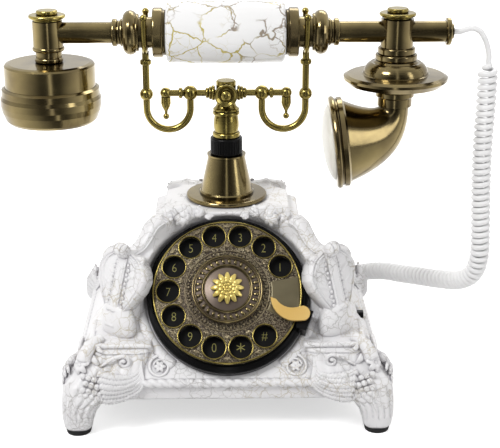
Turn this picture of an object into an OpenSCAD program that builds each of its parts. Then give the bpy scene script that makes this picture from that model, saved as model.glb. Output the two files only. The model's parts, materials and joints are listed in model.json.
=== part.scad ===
// Pedestal rotary telephone: resin base, tilted dial, brass post with a forked cradle, handset and
// curly cord. Millimetres, +Z up, origin on the table under the post, the dial facing -Y.

/* [Base] */
// Width and depth across the feet
base_w = 193; // [180:1:206]
// Height of the top platform above the table
platform_z = 115; // [114:0.5:116]
// Half the width of the sloping body where it meets the platform
core_top = 19; // [18:0.5:21]
// Height of the lower edge of the bottom rail
rail_z = 19.5; // [18.5:0.5:20.5]
// Height of the upper edge of the bottom rail
rail_top = 34; // [33.5:0.5:34.5]
// How far the feet stand out past the top of the rail
leg_step = 9.5; // [9:0.5:10]
// Wall of the resin shell
shell_wall = 4.5; // [4:0.25:5]
// Width of each diagonal corner console
console_w = 20; // [18:1:24]

/* [Dial] */
// Height of the dial centre on the front face
dial_z = 70.6; // [69.6:0.2:71.6]
// Outer radius of the finger wheel
wheel_r = 43.6; // [42.8:0.1:44.4]
// Width of the black bezel round the wheel
bezel_w = 4; // [3.4:0.1:4.8]
// Radius of the circle of finger holes
hole_ring_r = 34.6; // [34:0.1:35.2]
// Radius of a finger hole
hole_r = 6.6; // [6.2:0.1:6.8]
// Angle between neighbouring finger holes, in degrees
hole_pitch = 25.7; // [25.3:0.1:26.2]
// Angle of the first finger hole above the horizontal, in degrees
first_hole = 25.6; // [24:0.2:28]
// Height of the wheel's rim above the front face
wheel_h = 11.2; // [11:0.1:11.6]

/* [Post and cradle] */
// Radius of the disc flange on the platform
flange_r = 24.8; // [24:0.2:25.4]
// Height of the fixed post above the platform
post_h = 55; // [54:0.5:60]
// Height of the cradle arms above the fixed post
arm_rise = 10.8; // [10.6:0.1:11.4]
// Rise of the cradle when the handset is lifted
hook_travel = 4; // [3:0.5:4]

/* [Handset] */
// Height of the resting handset's axis above the cradle arms
hand_rise = 36.8; // [36:0.2:40]
// Radius of the grip
grip_r = 18.6; // [18:0.2:19]
// Length of the grip
grip_l = 71; // [70:0.5:72]
// Distance of the earpiece axis from the post axis
ear_x = 105.5; // [105:0.1:106]
// Largest radius of the earpiece cap
ear_r = 30.2; // [29.8:0.1:30.4]
// Distance of the mouthpiece axis from the post axis
mouth_x = 102.2; // [102:0.1:102.4]
// Radius of the saucer above the mouthpiece horn
saucer_r = 31.4; // [31:0.1:31.6]
// Radius of the horn's rim
horn_r = 28.5; // [28:0.1:28.8]
// Downward tilt of the horn's mouth, in degrees
horn_tilt = 6.5; // [5.5:0.5:7.5]

/* [Cord] */
// Diameter of the cord
cord_d = 3.6; // [3.4:0.1:3.8]
// Outer diameter of the curly stretch
coil_d = 12.6; // [12:0.2:12.8]

/* [Hidden] */
$fn = 64;

// Colours
resin = [0.94, 0.94, 0.93];
brass = [0.62, 0.52, 0.30];
gilt = [0.83, 0.66, 0.33];
black = [0.06, 0.06, 0.07];
steel = [0.70, 0.71, 0.72];
cream = [0.93, 0.90, 0.82];

// Gap between bodies that move past each other, and between pieces that only rest together
run_gap = 0.3;
rest_gap = 0.02;

// The base
platform_x = 44;
platform_front = 35;
platform_back = 28;
platform_cut = 12;
back_inset = 10;
cavity_step = rail_top - 4.5;
platform_low = platform_z - 17;
platform_mid = platform_z - 5;
ceiling_z = platform_z - 9;
leg_out = base_w / 2;
rail_half = leg_out - leg_step;
tan_lean = (rail_half - core_top) / (platform_z - rail_top);
face_lean = atan(tan_lean);
plate_t = 1.8;
plate_half = rail_half - 6.8;
plate_corner = 140;
boss_xy = [30, plate_half - 3.7];
boss_h = 8;
speaker_xy = [38.2 - plate_half, 30];
pad_h = 3;
pad_r = 7.8;
pad_xy = leg_out - 9.4;
standoff_xy = [[-6, 12], [54, 12], [-6, 60], [54, 60]];
standoff_top = 27;
board_t = 1.6;
screw_r = 1.4;
knob_z = 36;
switch_x = wall_in(knob_z + 4) - 7.1;
jack = [-14, 12, 14, 11];
inlet_x = 42;
inlet_z = 26.6;
inlet_r = 4.4;
inlet_l = 12.8;
inlet_y = rail_half - 8.6;

// The dial, measured along its own axis from the front face
dial_y = -core_half(dial_z);
bezel_r = wheel_r + bezel_w;
cup_r = wheel_r - 3.8;
plate_h = 6.8;
shaft_r = 3;
gear_r = 18;
governor_r = 24.2;
frame_h = -22;
frame_post_x = 30;
frame_post_r = 2;
hub_h = 14.2;
stop_h = 14.6;
stop_travel = 0.8;
stop_end_r = 4.4;
stop_end = [bezel_r - stop_end_r, -14.8];
stop_pin = [bezel_r - 2.4, -15.6];
stop_seat = 5.4;
stop_turn = -21.5;
stop_w = 12.6;
stop_l = 3;

// The post
tube_r = 5;
tube_bore = 3.5;
rod_r = 1.8;
rod_low = platform_z - 25;
column_top = platform_z + post_h;
arm_z = column_top + arm_rise;
cone_top = platform_z + 28;
collar_top = cone_top + 10.6;
spring_low = platform_z - 3;
shoulder_t = 1.6;
spring_high = collar_top - hook_travel - shoulder_t - run_gap;
bracket_x = wall_in(ceiling_z) - 0.7;
lever_pivot = [bracket_x - 6, rod_low - 3.5];
lever_gap = 0.25;

// The handset
hand_z = arm_z + hand_rise;
collar_in = grip_l / 2;
fork_x = collar_in + 12.5;
tube_start = collar_in + 31.9;
ear_neck = -17.4;
mouth_neck = -44.8;
saucer_top = -17;
gland_end = ear_x + ear_r;
gland_x = 29;
can_r = ear_r - 3.1;
barrel_l_r = 9;
barrel_r_r = 9.8;
hand_tube_r = 6.3;
tie_r = 3;
neck_r = 9.2;
horn_face = [mouth_x - 37.6, -68.4];

// The cord: its two tails and the axis of its coil, from the gland round behind the base
tail_top_route = [[gland_end + rest_gap, 0, hand_z], [139.6, 0, hand_z], [143.6, 0, 218.8],
    [148, 0, 219.4], [152, 0, 217.4], [155.2, 0, 212.6], [157, 0, 207.6], [158, 0, 203], [158, 0, 198.1]];
coil_route = [[158, 0, 198], [158, 0, 186], [158, 0, 170], [157.6, 0, 150], [157.8, 0, 130],
    [158.6, 0, 110], [159.6, 0, 90], [160, 1, 74], [158, 7, 60], [152, 20, 50], [143, 36, 44],
    [132, 54, 39], [121, 72, 34], [111, 90, 29], [100, 104, 23], [90, 111, 18], [80, 113, 16], [72, 113, 16]];
tail_base_route = [[71.9, 113, 16], [66, 113, 16], [60, 113, 16.6], [54, 112, 18.6], [48.4, 109, 21.8],
    [44.4, 104.4, 25], [42.4, 99, 26.4], [inlet_x, 95, inlet_z],
    [inlet_x, inlet_y + inlet_l + rest_gap, inlet_z]];

// Half the width of the body at height z
function core_half(z) = rail_half - (z - rail_top) * tan_lean;

// Distance of the inside of the sloping wall from the post axis at height z
function wall_in(z) = core_half(z) - shell_wall / cos(face_lean);

// Points of an arc about a centre
function arc(c, r, a0, a1, n) =
    [for (i = [0:n]) c + r * [cos(a0 + (a1 - a0) * i / n), sin(a0 + (a1 - a0) * i / n)]];

function unit(v) = v / norm(v);

// Ring of points about a path point, square to the path
function tube_ring(p, along, r, sides) =
    let (t = unit(along), u = unit(cross(t, [0.5, -0.5, 0.7])), v = cross(t, u))
    [for (j = [0:sides - 1]) p + r * (cos(360 * j / sides) * u + sin(360 * j / sides) * v)];

// Rings of a tube along a route of points
function tube_rings(route, r, sides) =
    [for (i = [0:len(route) - 1])
        tube_ring(route[i], route[min(i + 1, len(route) - 1)] - route[max(i - 1, 0)], r, sides)];

// Closed solid through rings that turn anticlockwise about their direction of travel
module loft(rings) {
    n = len(rings[0]);
    m = len(rings);
    sides = [for (i = [0:m - 2], j = [0:n - 1])
        let (a = i * n + j, b = i * n + (j + 1) % n)
        each [[a, a + n, b + n], [a, b + n, b]]];
    ends = [[for (j = [0:n - 1]) j], [for (j = [n - 1:-1:0]) (m - 1) * n + j]];
    polyhedron([for (ring = rings) each ring], concat(sides, ends));
}

// Closed skin through a loop of rings, such as the outside and then the inside of a shell
module loft_loop(rings) {
    n = len(rings[0]);
    m = len(rings);
    polyhedron([for (ring = rings) each ring],
        [for (i = [0:m - 1], j = [0:n - 1])
            let (a = i * n + j, b = i * n + (j + 1) % n, c = (i + 1) % m * n + j,
                d = (i + 1) % m * n + (j + 1) % n)
            each [[a, c, d], [a, d, b]]]);
}

module at_corners() {
    for (sx = [0, 1], sy = [0, 1])
        mirror([sx, 0, 0])
            mirror([0, sy, 0])
                children();
}

// Places its children on the dial axis, with Z out of the front face and Y up along it
module in_dial() {
    translate([0, dial_y, dial_z])
        rotate([90 - face_lean, 0, 0])
            children();
}

// Places its children along the handset axis, with Z along +X
module in_handset() {
    translate([0, 0, hand_z])
        rotate([0, 90, 0])
            children();
}

// A turned ring: an outer radius over a stretch of the axis, with rounded edges
module turned_ring(r, low, high) {
    edge = min((high - low) * 0.45, 1);
    rotate_extrude()
        polygon(concat([[0, low]], arc([r - edge, low + edge], edge, -90, 0, 4),
            arc([r - edge, high - edge], edge, 0, 90, 4), [[0, high]]));
}

// ---------------------------------------------------------------- base

// The corner consoles, by distance along the corner's diagonal and height
console_p = (rail_half - 23) * sqrt(2);
ledge_low = 47;
ledge_t = 4.8;
scroll_head = [console_p - 4.1, platform_z - 12];
scroll_r = 4.3;
strip_w = 8.5;
strip_top = [console_p - 5.2, platform_z - 17.5];
strip_foot = [console_p + 7.3, ledge_low + 11.4];
strip_lean = atan((strip_foot.x - strip_top.x) / (strip_top.y - strip_foot.y));
stem_outline = [[36, platform_z - 9], [50, platform_z - 2], [60, platform_z - 3],
    scroll_head + [-20, 3.8], scroll_head + [-14, -0.8], scroll_head + [-7, -2.6], scroll_head,
    strip_top, strip_foot, [console_p - 8, ledge_low + 4.4], [56, ledge_low + 4.2]];
web_outline = [[36, platform_z - 12], [60, platform_z - 13], strip_top - [7, 3], strip_foot - [7, 0],
    [console_p, ledge_low + 4.2], [56, ledge_low + 4.2]];
bowl_profile = [[0, ledge_low + 4], [7.6, ledge_low + 4], [10.2, ledge_low + 6.6], [11.2, ledge_low + 10.6],
    [10.8, ledge_low + 15], [9, ledge_low + 20.4], [0, ledge_low + 24]];
leaf_side = [[0.4, 1], [6, 8], [12, 15.4], [17, 23.6], [19.4, 31.6], [18.8, 37.6], [15, 41.4], [9, 42],
    [4.6, 39]];
leaf_outline = concat(leaf_side, [for (i = [len(leaf_side) - 1:-1:0]) [-leaf_side[i].x, leaf_side[i].y]]);

// One diagonal corner console: its scrolled stem, face strip and web, the leaf across it and its bowl
module console() {
    rotate([0, 0, 45]) {
        rotate([90, 0, 0]) {
            linear_extrude(strip_w, center = true)
                polygon(stem_outline);
            linear_extrude(console_w, center = true)
                polygon(web_outline);
            translate([scroll_head.x, scroll_head.y, 0])
                cylinder(r = scroll_r, h = 5, center = true);
        }
        translate([console_p, 0, 0])
            rotate_extrude()
                polygon(bowl_profile);
        translate([strip_foot.x - 9, 0, strip_foot.y])
            rotate([0, -strip_lean, 0])
                rotate([90, 0, 90])
                    linear_extrude(7)
                        polygon(leaf_outline);
    }
}

// Rounded square section of a leg, centred on the corner's diagonal
function leg_ring(z, centre, half, square) =
    [for (j = [0:15])
        let (c = cos(j * 22.5 + 11.25), s = sin(j * 22.5 + 11.25), p = 2 / square)
        [centre + half * sign(c) * pow(abs(c), p), centre + half * sign(s) * pow(abs(s), p), z]];

module leg() {
    loft([leg_ring(pad_h, pad_xy, 8.4, 2.6), leg_ring(8, leg_out - 9.4, 9.2, 2.6),
        leg_ring(14, leg_out - 10.2, 10.2, 2.8), leg_ring(19, leg_out - 12, 12, 3),
        leg_ring(24, leg_out - 17, 17, 3.4), leg_ring(30, leg_out - 22.4, 21.4, 3.8),
        leg_ring(36, leg_out - 27.6, 21.4, 4.4), leg_ring(42, leg_out - 31, 20.4, 5),
        leg_ring(ledge_low + 1, leg_out - 33.6, 19, 6)]);
}

crest_outline = concat(arc([0, 0.6], 6.2, 205, 335, 6), arc([8.4, 0.2], 4.4, -50, 100, 6),
    arc([0, 0.8], 5.2, 60, 120, 4), arc([-8.4, 0.2], 4.4, 80, 230, 6));

// Shell crest that hangs over the platform's front or back edge
module crest(edge, height) {
    translate([25.5, edge + 3.2, height])
        rotate([90, 0, 0])
            linear_extrude(6)
                polygon(crest_outline);
}

// Corners of the body's section at height z, moved in by an inset
function body_section(z, inset) =
    let (half = core_half(z) - inset)
    [[half, -half, z], [half, half - back_inset, z], [-half, half - back_inset, z], [-half, -half, z]];

module frustum(low, high, inset) {
    loft([body_section(low, inset), body_section(high, inset)]);
}

// Outline of the platform with its two back corners cut off
function platform_outline(half_x, front, back, cut) =
    [[-half_x, -front], [half_x, -front], [half_x, back - cut], [half_x - cut, back],
        [cut - half_x, back], [-half_x, back - cut]];

module base_outside() {
    frustum(rail_top - 1, platform_z - 3, 0);
    translate([-rail_half - 1, -rail_half - 1, rail_z])
        cube([2 * rail_half + 2, 2 * rail_half + 2, rail_top - rail_z]);
    translate([0, 0, platform_low])
        linear_extrude(platform_mid - platform_low)
            polygon(platform_outline(platform_x, platform_front, platform_back, platform_cut));
    translate([0, 0, platform_mid - 1])
        linear_extrude(platform_z - platform_mid + 1)
            polygon(platform_outline(platform_x - 6, platform_front - 4, platform_back - 2, platform_cut));
    at_corners() {
        leg();
        translate([rail_half - 43, rail_half - 43, ledge_low])
            cube([35, 35, ledge_t]);
    }
    for (sx = [0, 1])
        mirror([sx, 0, 0]) {
            crest(platform_back, platform_mid + 1.6);
            mirror([0, 1, 0]) {
                crest(platform_front, platform_z + 0.6);
                console();
            }
        }
}

module base_cavity() {
    inset = shell_wall / cos(face_lean);
    frustum(cavity_step - 0.1, ceiling_z, inset);
    translate([-plate_half - rest_gap, -plate_half - rest_gap, rail_z - 1])
        cube([2 * (plate_half + rest_gap), 2 * (plate_half + rest_gap), cavity_step - rail_z + 1]);
}

module base_shell() {
    color(resin)
        difference() {
            union() {
                difference() {
                    base_outside();
                    base_cavity();
                    in_dial()
                        cylinder(r = bezel_r + 1.5, h = 70);
                }
                at_corners()
                    translate([boss_xy.x, boss_xy.y, rail_z + plate_t + 0.3])
                        cylinder(r = 4.5, h = boss_h);
            }
            in_dial() {
                translate([0, 0, -20])
                    cylinder(r = cup_r + 0.2, h = 22);
                rotate([0, 0, stop_turn])
                    translate([bezel_r, -stop_w / 2 - run_gap, 0])
                        cube([stop_l + 0.4 + run_gap, stop_w + 2 * run_gap, 70]);
            }
            translate([0, 0, ceiling_z - 5])
                cylinder(r = tube_r + 0.1, h = 20);
            at_corners()
                translate([boss_xy.x, boss_xy.y, rail_z])
                    cylinder(r = screw_r + rest_gap, h = 12);
            translate([switch_x + 1, -8, knob_z - 2.4])
                cube([24, 16, 4.8]);
            translate([jack.x, rail_half - 17, rail_z + plate_t + 0.6])
                cube([jack[1], 24, jack[3]]);
            translate([inlet_x, rail_half - 12, inlet_z])
                rotate([-90, 0, 0])
                    cylinder(r = inlet_r + rest_gap, h = 24);
        }
}

module base_plate() {
    color(black) {
        difference() {
            intersection() {
                translate([-plate_half, -plate_half, rail_z + 0.2])
                    cube([2 * plate_half, 2 * plate_half, plate_t]);
                rotate([0, 0, 45])
                    translate([-plate_corner / sqrt(2), -plate_corner / sqrt(2), 0])
                        cube([plate_corner * sqrt(2), plate_corner * sqrt(2), 40]);
            }
            at_corners()
                translate([boss_xy.x, boss_xy.y, 0])
                    cylinder(r = screw_r + rest_gap, h = 40);
            for (a = [0:45:315], r = [6, 11, 16])
                translate([speaker_xy.x + r * cos(a), speaker_xy.y + r * sin(a), 0])
                    cylinder(r = 1.4, h = 40);
        }
        for (p = standoff_xy)
            translate([p.x, p.y, rail_z + 0.2 + plate_t - 0.5])
                difference() {
                    cylinder(r = 3.2, h = standoff_top - rail_z - plate_t + 0.3);
                    translate([0, 0, 1])
                        cylinder(r = screw_r + rest_gap, h = 20);
                }
    }
}

// Pan-head screw pointing up, with its head's flat on z = 0
module screw(length) {
    translate([0, 0, -1.8])
        difference() {
            cylinder(r1 = 2.2, r2 = 2.8, h = 1.8);
            translate([-0.4, -2, -0.1])
                cube([0.8, 4, 0.8]);
        }
    cylinder(r = screw_r, h = length);
}

module screws() {
    color(steel) {
        at_corners()
            translate([boss_xy.x, boss_xy.y, rail_z + 0.2 - rest_gap])
                screw(9);
        for (p = standoff_xy)
            translate([p.x, p.y, standoff_top + board_t + rest_gap])
                mirror([0, 0, 1])
                    screw(6);
    }
}

module foot_pads() {
    color(black)
        at_corners()
            translate([pad_xy, pad_xy, 0])
                cylinder(r1 = pad_r - 0.8, r2 = pad_r, h = pad_h - rest_gap);
}

module main_board() {
    color([0.10, 0.36, 0.20])
        difference() {
            translate([-10, 8, standoff_top])
                cube([68, 56, board_t]);
            for (p = standoff_xy)
                translate([p.x, p.y, 0])
                    cylinder(r = screw_r + rest_gap, h = 60);
        }
    color(black) {
        translate([12, 24, standoff_top + board_t])
            cube([18, 12, 2.2]);
        translate([34, 42, standoff_top + board_t])
            cylinder(r = 4, h = 9);
        translate([18, 48, standoff_top + board_t])
            cylinder(r = 3, h = 7);
    }
}

module ringer_speaker() {
    color(black)
        translate([speaker_xy.x, speaker_xy.y, rail_z + 0.2 + plate_t + rest_gap])
            rotate_extrude()
                polygon([[0, 1], [19.5, 1], [19.5, 0], [22, 0], [22, 2.4], [19, 3.2], [12.4, 8.2],
                    [12.4, 13], [0, 13]]);
}

module ringer_switch() {
    color(steel)
        difference() {
            translate([switch_x, -9, knob_z - 4])
                cube([7, 18, 8]);
            translate([switch_x + 3, -7, knob_z - 2.6])
                cube([10, 14, 5.2]);
        }
}

module ringer_knob() {
    color(black)
        translate([switch_x + 3.6, -4.6, knob_z - 1.9])
            cube([core_half(knob_z) - switch_x - 2, 4, 3.8]);
}

module cord_inlet() {
    color(cream)
        translate([inlet_x, inlet_y, inlet_z])
            rotate([-90, 0, 0])
                difference() {
                    union() {
                        cylinder(r = inlet_r, h = inlet_l - 1);
                        translate([0, 0, inlet_l - 3])
                            cylinder(r = inlet_r + 1.2, h = 3);
                    }
                    translate([0, 0, -1])
                        cylinder(r = cord_d / 2 + 0.1, h = inlet_l - 0.5);
                }
}

module line_jack() {
    color(black)
        translate([jack.x + 0.1, rail_half - 13, rail_z + plate_t + 0.7])
            difference() {
                cube([jack[1] - 0.2, jack[2] - 0.4, jack[3] - 0.2]);
                translate([1.6, 3, 1.6])
                    cube([jack[1] - 3.4, jack[2], jack[3] - 3.4]);
            }
}

// ---------------------------------------------------------------- dial

module dial_bezel() {
    color(black)
        in_dial()
            difference() {
                rotate_extrude($fn = 96)
                    polygon(concat([[wheel_r + 0.9, rest_gap], [bezel_r, rest_gap], [bezel_r, 4.4]],
                        arc([bezel_r - 2.2, 4.6], 2.2, 10, 80, 4), [[wheel_r + 0.9, 8]]));
                rotate([0, 0, stop_turn])
                    translate([wheel_r, -stop_w / 2 - 0.5, stop_seat])
                        cube([20, stop_w + 1, 10]);
            }
}

module dial_cup() {
    color(black)
        in_dial()
            difference() {
                union() {
                    translate([0, 0, -4])
                        cylinder(r = cup_r, h = 4.2 + rest_gap);
                    translate([0, 0, rest_gap])
                        cylinder(r = wheel_r + 0.8, h = 5.2);
                }
                translate([0, 0, -2.4])
                    cylinder(r = cup_r - 2, h = 20);
                translate([0, 0, -10])
                    cylinder(r = shaft_r + 0.6, h = 20);
                translate([governor_r, 0, -10])
                    cylinder(r = 3, h = 20);
            }
}

module number_plate() {
    color(black)
        in_dial()
            translate([0, 0, plate_h - 1.5])
                difference() {
                    cylinder(r = wheel_r + 0.7, h = 1.5);
                    translate([0, 0, -1])
                        cylinder(r = shaft_r + 0.6, h = 4);
                }
}

// Height of the finger wheel's upper surface at a radius
function wheel_top(r) = wheel_h + (hub_h - 1 - wheel_h) * (1 - pow(r / wheel_r, 2));

// Radius of step i of ten across the wheel's dished plate
function wheel_step(i) = 6 + (wheel_r - 6) * i / 10;

module finger_wheel() {
    color(brass)
        in_dial()
            difference() {
                union() {
                    rotate_extrude($fn = 96)
                        polygon(concat(
                            [for (i = [0:10]) [wheel_step(i), wheel_top(wheel_step(i)) - 1.6]],
                            [for (i = [10:-1:0]) [wheel_step(i), wheel_top(wheel_step(i))]]));
                    for (i = [0:11])
                        rotate([0, 0, first_hole + i * hole_pitch])
                            translate([hole_ring_r, 0, wheel_h - 1])
                                cylinder(r = hole_r + 1, h = 2);
                    translate([0, 0, hub_h - 3.6])
                        cylinder(r = 7, h = 2);
                }
                for (i = [0:11])
                    rotate([0, 0, first_hole + i * hole_pitch])
                        translate([hole_ring_r, 0, 0])
                            cylinder(r = hole_r, h = 30);
                cylinder(r = shaft_r + rest_gap, h = 30);
            }
}

module dial_medallion() {
    color(brass)
        in_dial()
            difference() {
                rotate_extrude($fn = 96)
                    polygon([[0, hub_h - 0.6], [20.6, hub_h - 0.6], [20.6, hub_h + 1.4], [19.4, hub_h + 2.4],
                        [18.2, hub_h + 1.6], [15.4, hub_h + 1.9], [14.6, hub_h + 2.6], [13.6, hub_h + 2],
                        [9, hub_h + 3], [4, hub_h + 3.8], [0, hub_h + 4]]);
                translate([0, 0, hub_h - 1])
                    cylinder(r = shaft_r + 2.2, h = 1.6);
            }
}

module dial_shaft() {
    color(steel)
        in_dial() {
            translate([0, 0, frame_h + 1.6])
                cylinder(r = shaft_r, h = hub_h - 0.8 - frame_h - 1.6);
            translate([0, 0, hub_h - 1 + rest_gap])
                cylinder(r = shaft_r + 2, h = 0.9);
        }
}

// A wheel with a ring of plain teeth
module toothed(r, h, teeth) {
    difference() {
        cylinder(r = r, h = h);
        for (i = [0:teeth - 1])
            rotate([0, 0, i * 360 / teeth])
                translate([r - 0.9, -r * 2.6 / teeth / 2, -1])
                    cube([3, r * 2.6 / teeth, h + 2]);
    }
}

module main_gear() {
    color(brass)
        in_dial()
            translate([0, 0, -13])
                difference() {
                    toothed(gear_r, 1.8, 36);
                    translate([0, 0, -1])
                        cylinder(r = shaft_r + rest_gap, h = 6);
                    for (a = [0:90:270])
                        rotate([0, 0, a])
                            translate([10.5, 0, -1])
                                cylinder(r = 3.4, h = 6);
                }
}

spring_turns = 4;

module return_spring() {
    inner = shaft_r + run_gap;
    outer = inner + 8;
    strip = 0.6;
    steps = spring_turns * 16;
    color(steel)
        in_dial()
            translate([0, 0, -9.4])
                rotate([0, 0, 90]) {
                    linear_extrude(3)
                        polygon(concat(
                            [for (i = [0:steps]) (inner + 8 * i / steps) * [cos(i * 22.5), sin(i * 22.5)]],
                            [for (i = [steps:-1:0])
                                (inner + strip + 8 * i / steps) * [cos(i * 22.5), sin(i * 22.5)]]));
                    translate([outer, -strip / 2, 0])
                        cube([frame_post_x - frame_post_r - outer - rest_gap, strip, 3]);
                }
}

module governor() {
    color(brass)
        in_dial()
            translate([governor_r, 0, 0]) {
                translate([0, 0, frame_h + 1.6])
                    cylinder(r = 1.2, h = 16);
                translate([0, 0, -14])
                    toothed(governor_r - gear_r - 0.4, 3.4, 12);
                translate([0, 0, -19.6])
                    cylinder(r = 3, h = 3);
                for (a = [0, 180])
                    rotate([0, 0, a])
                        translate([2.4, -1.6, -19.2])
                            cube([5, 3.2, 2.2]);
            }
}

module dial_frame() {
    color(steel)
        in_dial()
            difference() {
                union() {
                    translate([0, 0, frame_h])
                        cylinder(r = 34, h = 1.4);
                    for (a = [90, 210, 330])
                        rotate([0, 0, a])
                            translate([frame_post_x, 0, frame_h + 0.5])
                                cylinder(r = frame_post_r, h = -4 - frame_h - 0.5 - rest_gap);
                }
                for (a = [30, 150, 270])
                    rotate([0, 0, a])
                        translate([18, 0, frame_h - 1])
                            cylinder(r = 7, h = 4);
            }
}

module pulse_contacts() {
    color(cream)
        in_dial()
            translate([-30, -4, frame_h + 1.4 + rest_gap]) {
                cube([7, 8, 6]);
                translate([7, 1, 4])
                    cube([3, 6, 0.5]);
            }
}

module stop_block() {
    color(black)
        in_dial()
            difference() {
                rotate([0, 0, stop_turn])
                    union() {
                        translate([bezel_r + 0.4, -stop_w / 2, rest_gap])
                            cube([stop_l, stop_w, stop_h - stop_travel - run_gap - 0.4]);
                        translate([wheel_r + 1, -stop_w / 2, stop_seat + 0.1])
                            cube([bezel_w + 2, stop_w, stop_h - stop_travel - run_gap - stop_seat - 0.48]);
                    }
                translate([stop_pin.x, stop_pin.y, 2])
                    cylinder(r = 1.3, h = 20);
            }
}

// Outline of the finger stop: a comma from its tip over the wheel to its broad end at the block
stop_outline = concat([[25, -5]],
    arc(stop_end + [-5.8, 13.8], 10.6, 210, 284, 7),
    arc(stop_end, stop_end_r, 84, -80, 10),
    arc(stop_end + [-4, 9.6], 14.1, 276, 186, 8));

module finger_stop() {
    color(gilt)
        in_dial() {
            translate([0, 0, stop_h])
                linear_extrude(1.8)
                    polygon(stop_outline);
            translate([stop_pin.x, stop_pin.y, stop_seat + stop_travel + run_gap])
                cylinder(r = 1.2, h = stop_h - stop_seat - stop_travel);
        }
}

// ---------------------------------------------------------------- post

module post_flange() {
    color(brass)
        difference() {
            rotate_extrude($fn = 96)
                polygon(concat([[0, platform_z + rest_gap], [flange_r - 0.8, platform_z + rest_gap],
                    [flange_r, platform_z + 1]], arc([flange_r - 1, platform_z + 2], 1, 0, 90, 4),
                    [[17.4, platform_z + 3.2], [0, platform_z + 3.2]]));
            translate([0, 0, platform_z - 1])
                cylinder(r = tube_r + rest_gap, h = 10);
        }
}

module post_cone() {
    low = platform_z + 3.2 + rest_gap;
    color(brass)
        difference() {
            rotate_extrude($fn = 96)
                polygon([[0, low], [16.6, low], [16.6, low + 1.2], [15.9, low + 2], [11.2, cone_top - 1.2],
                    [11.9, cone_top - 1], [11.9, cone_top], [0, cone_top]]);
            translate([0, 0, low - 1])
                cylinder(r = tube_r + rest_gap, h = 40);
        }
}

module knurled_collar() {
    low = cone_top + rest_gap;
    color(black)
        difference() {
            turned_ring(9.8, low, collar_top);
            translate([0, 0, low - 1])
                cylinder(r = tube_r + rest_gap, h = 40);
            for (a = [0:10:350])
                rotate([0, 0, a])
                    translate([9.8, 0, low + 1.4])
                        cylinder(r = 0.45, h = collar_top - low - 2.8, $fn = 16);
        }
}

module column() {
    low = collar_top + rest_gap;
    color(brass)
        difference() {
            union() {
                turned_ring(8.4, low, low + 3.2);
                translate([0, 0, low])
                    rotate_extrude()
                        polygon(concat([[0, 0]], [for (i = [0:10]) let (t = i / 10)
                            [6.3 + 1.3 * sin(180 * t) + 0.3 * t, t * (column_top - low - 1)]],
                            [[0, column_top - low - 1]]));
                turned_ring(8.2, column_top - 2.6, column_top);
            }
            translate([0, 0, low - 1])
                cylinder(r = rod_r + 0.1, h = 40);
        }
}

module post_tube() {
    color(steel)
        difference() {
            translate([0, 0, ceiling_z - 9])
                cylinder(r = tube_r, h = collar_top - ceiling_z + 9);
            translate([0, 0, ceiling_z - 10])
                cylinder(r = rod_r + 0.1, h = 80);
            translate([0, 0, spring_low])
                cylinder(r = tube_bore, h = 80);
        }
}

module post_nut() {
    color(steel)
        translate([0, 0, ceiling_z - 1.2 - 4 - 2 * rest_gap])
            difference() {
                cylinder(r = 9, h = 4, $fn = 6);
                translate([0, 0, -1])
                    cylinder(r = tube_r + rest_gap, h = 10);
            }
}

module plunger_rod() {
    color(steel) {
        translate([0, 0, rod_low])
            cylinder(r = rod_r, h = column_top + 2 - rod_low);
        translate([0, 0, spring_high])
            cylinder(r = tube_bore - run_gap, h = shoulder_t);
    }
}

module plunger_spring() {
    turns = 9;
    wire = 0.4;
    steps = turns * 12;
    low = spring_low + wire + 0.05;
    high = spring_high - wire - 0.05;
    color(steel)
        loft(tube_rings([for (i = [0:steps])
            [2.6 * cos(i * 30), 2.6 * sin(i * 30), low + (high - low) * i / steps]], wire, 6));
}

module hook_switch() {
    color(steel)
        difference() {
            union() {
                translate([-9, -8, ceiling_z - 1.2 - rest_gap])
                    cube([bracket_x + 9, 16, 1.2]);
                translate([bracket_x - 1.2, -8, rod_low - 16])
                    cube([1.2, 16, ceiling_z - rod_low + 16 - rest_gap]);
                for (y = [-6.2, 5])
                    translate([lever_pivot.x - 3, y, lever_pivot.y - 4])
                        cube([8.4, 1.2, 8]);
            }
            translate([0, 0, ceiling_z - 16])
                cylinder(r = tube_r + rest_gap, h = 20);
            translate([lever_pivot.x, 0, lever_pivot.y])
                rotate([90, 0, 0])
                    cylinder(r = 1.05, h = 40, center = true);
        }
    color(black)
        translate([bracket_x - 11, -6.2, rod_low - 15])
            cube([9.8 - rest_gap, 12.4, 6]);
}

module hook_lever() {
    color(cream) {
        translate([lever_pivot.x, 0, lever_pivot.y]) {
            rotate([90, 0, 0])
                cylinder(r = 1, h = 12, center = true);
            rotate([90, 0, 0])
                cylinder(r = 2, h = 9, center = true);
        }
        translate([-2.6, -3, rod_low - lever_gap - 1.6])
            cube([lever_pivot.x + 2.6, 6, 1.6]);
        translate([lever_pivot.x - 1.4, -3, lever_pivot.y])
            cube([2, 6, 2.6]);
    }
}

// ---------------------------------------------------------------- cradle

hub_low = column_top + 0.4;

module cradle_hub() {
    color(brass)
        difference() {
            union() {
                rotate_extrude()
                    polygon(concat([[0, hub_low], [8, hub_low], [8, hub_low + 0.8]],
                        arc([9.6, hub_low + 4.4], 3.8, 240, 180, 5), [[6, arm_z + 7.2], [5.4, arm_z + 7.8],
                        [0, arm_z + 7.8]]));
                translate([0, -5.2, arm_z])
                    rotate([90, 0, 0])
                        cylinder(r = 6.2, h = 2.2);
            }
            translate([0, 0, hub_low - 1])
                cylinder(r = rod_r + rest_gap, h = column_top + 3 - hub_low);
            for (side = [-1, 1])
                translate([side * 4, 0, arm_z])
                    rotate([0, side * 90, 0])
                        cylinder(r = 2 + rest_gap, h = 10);
        }
}

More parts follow.
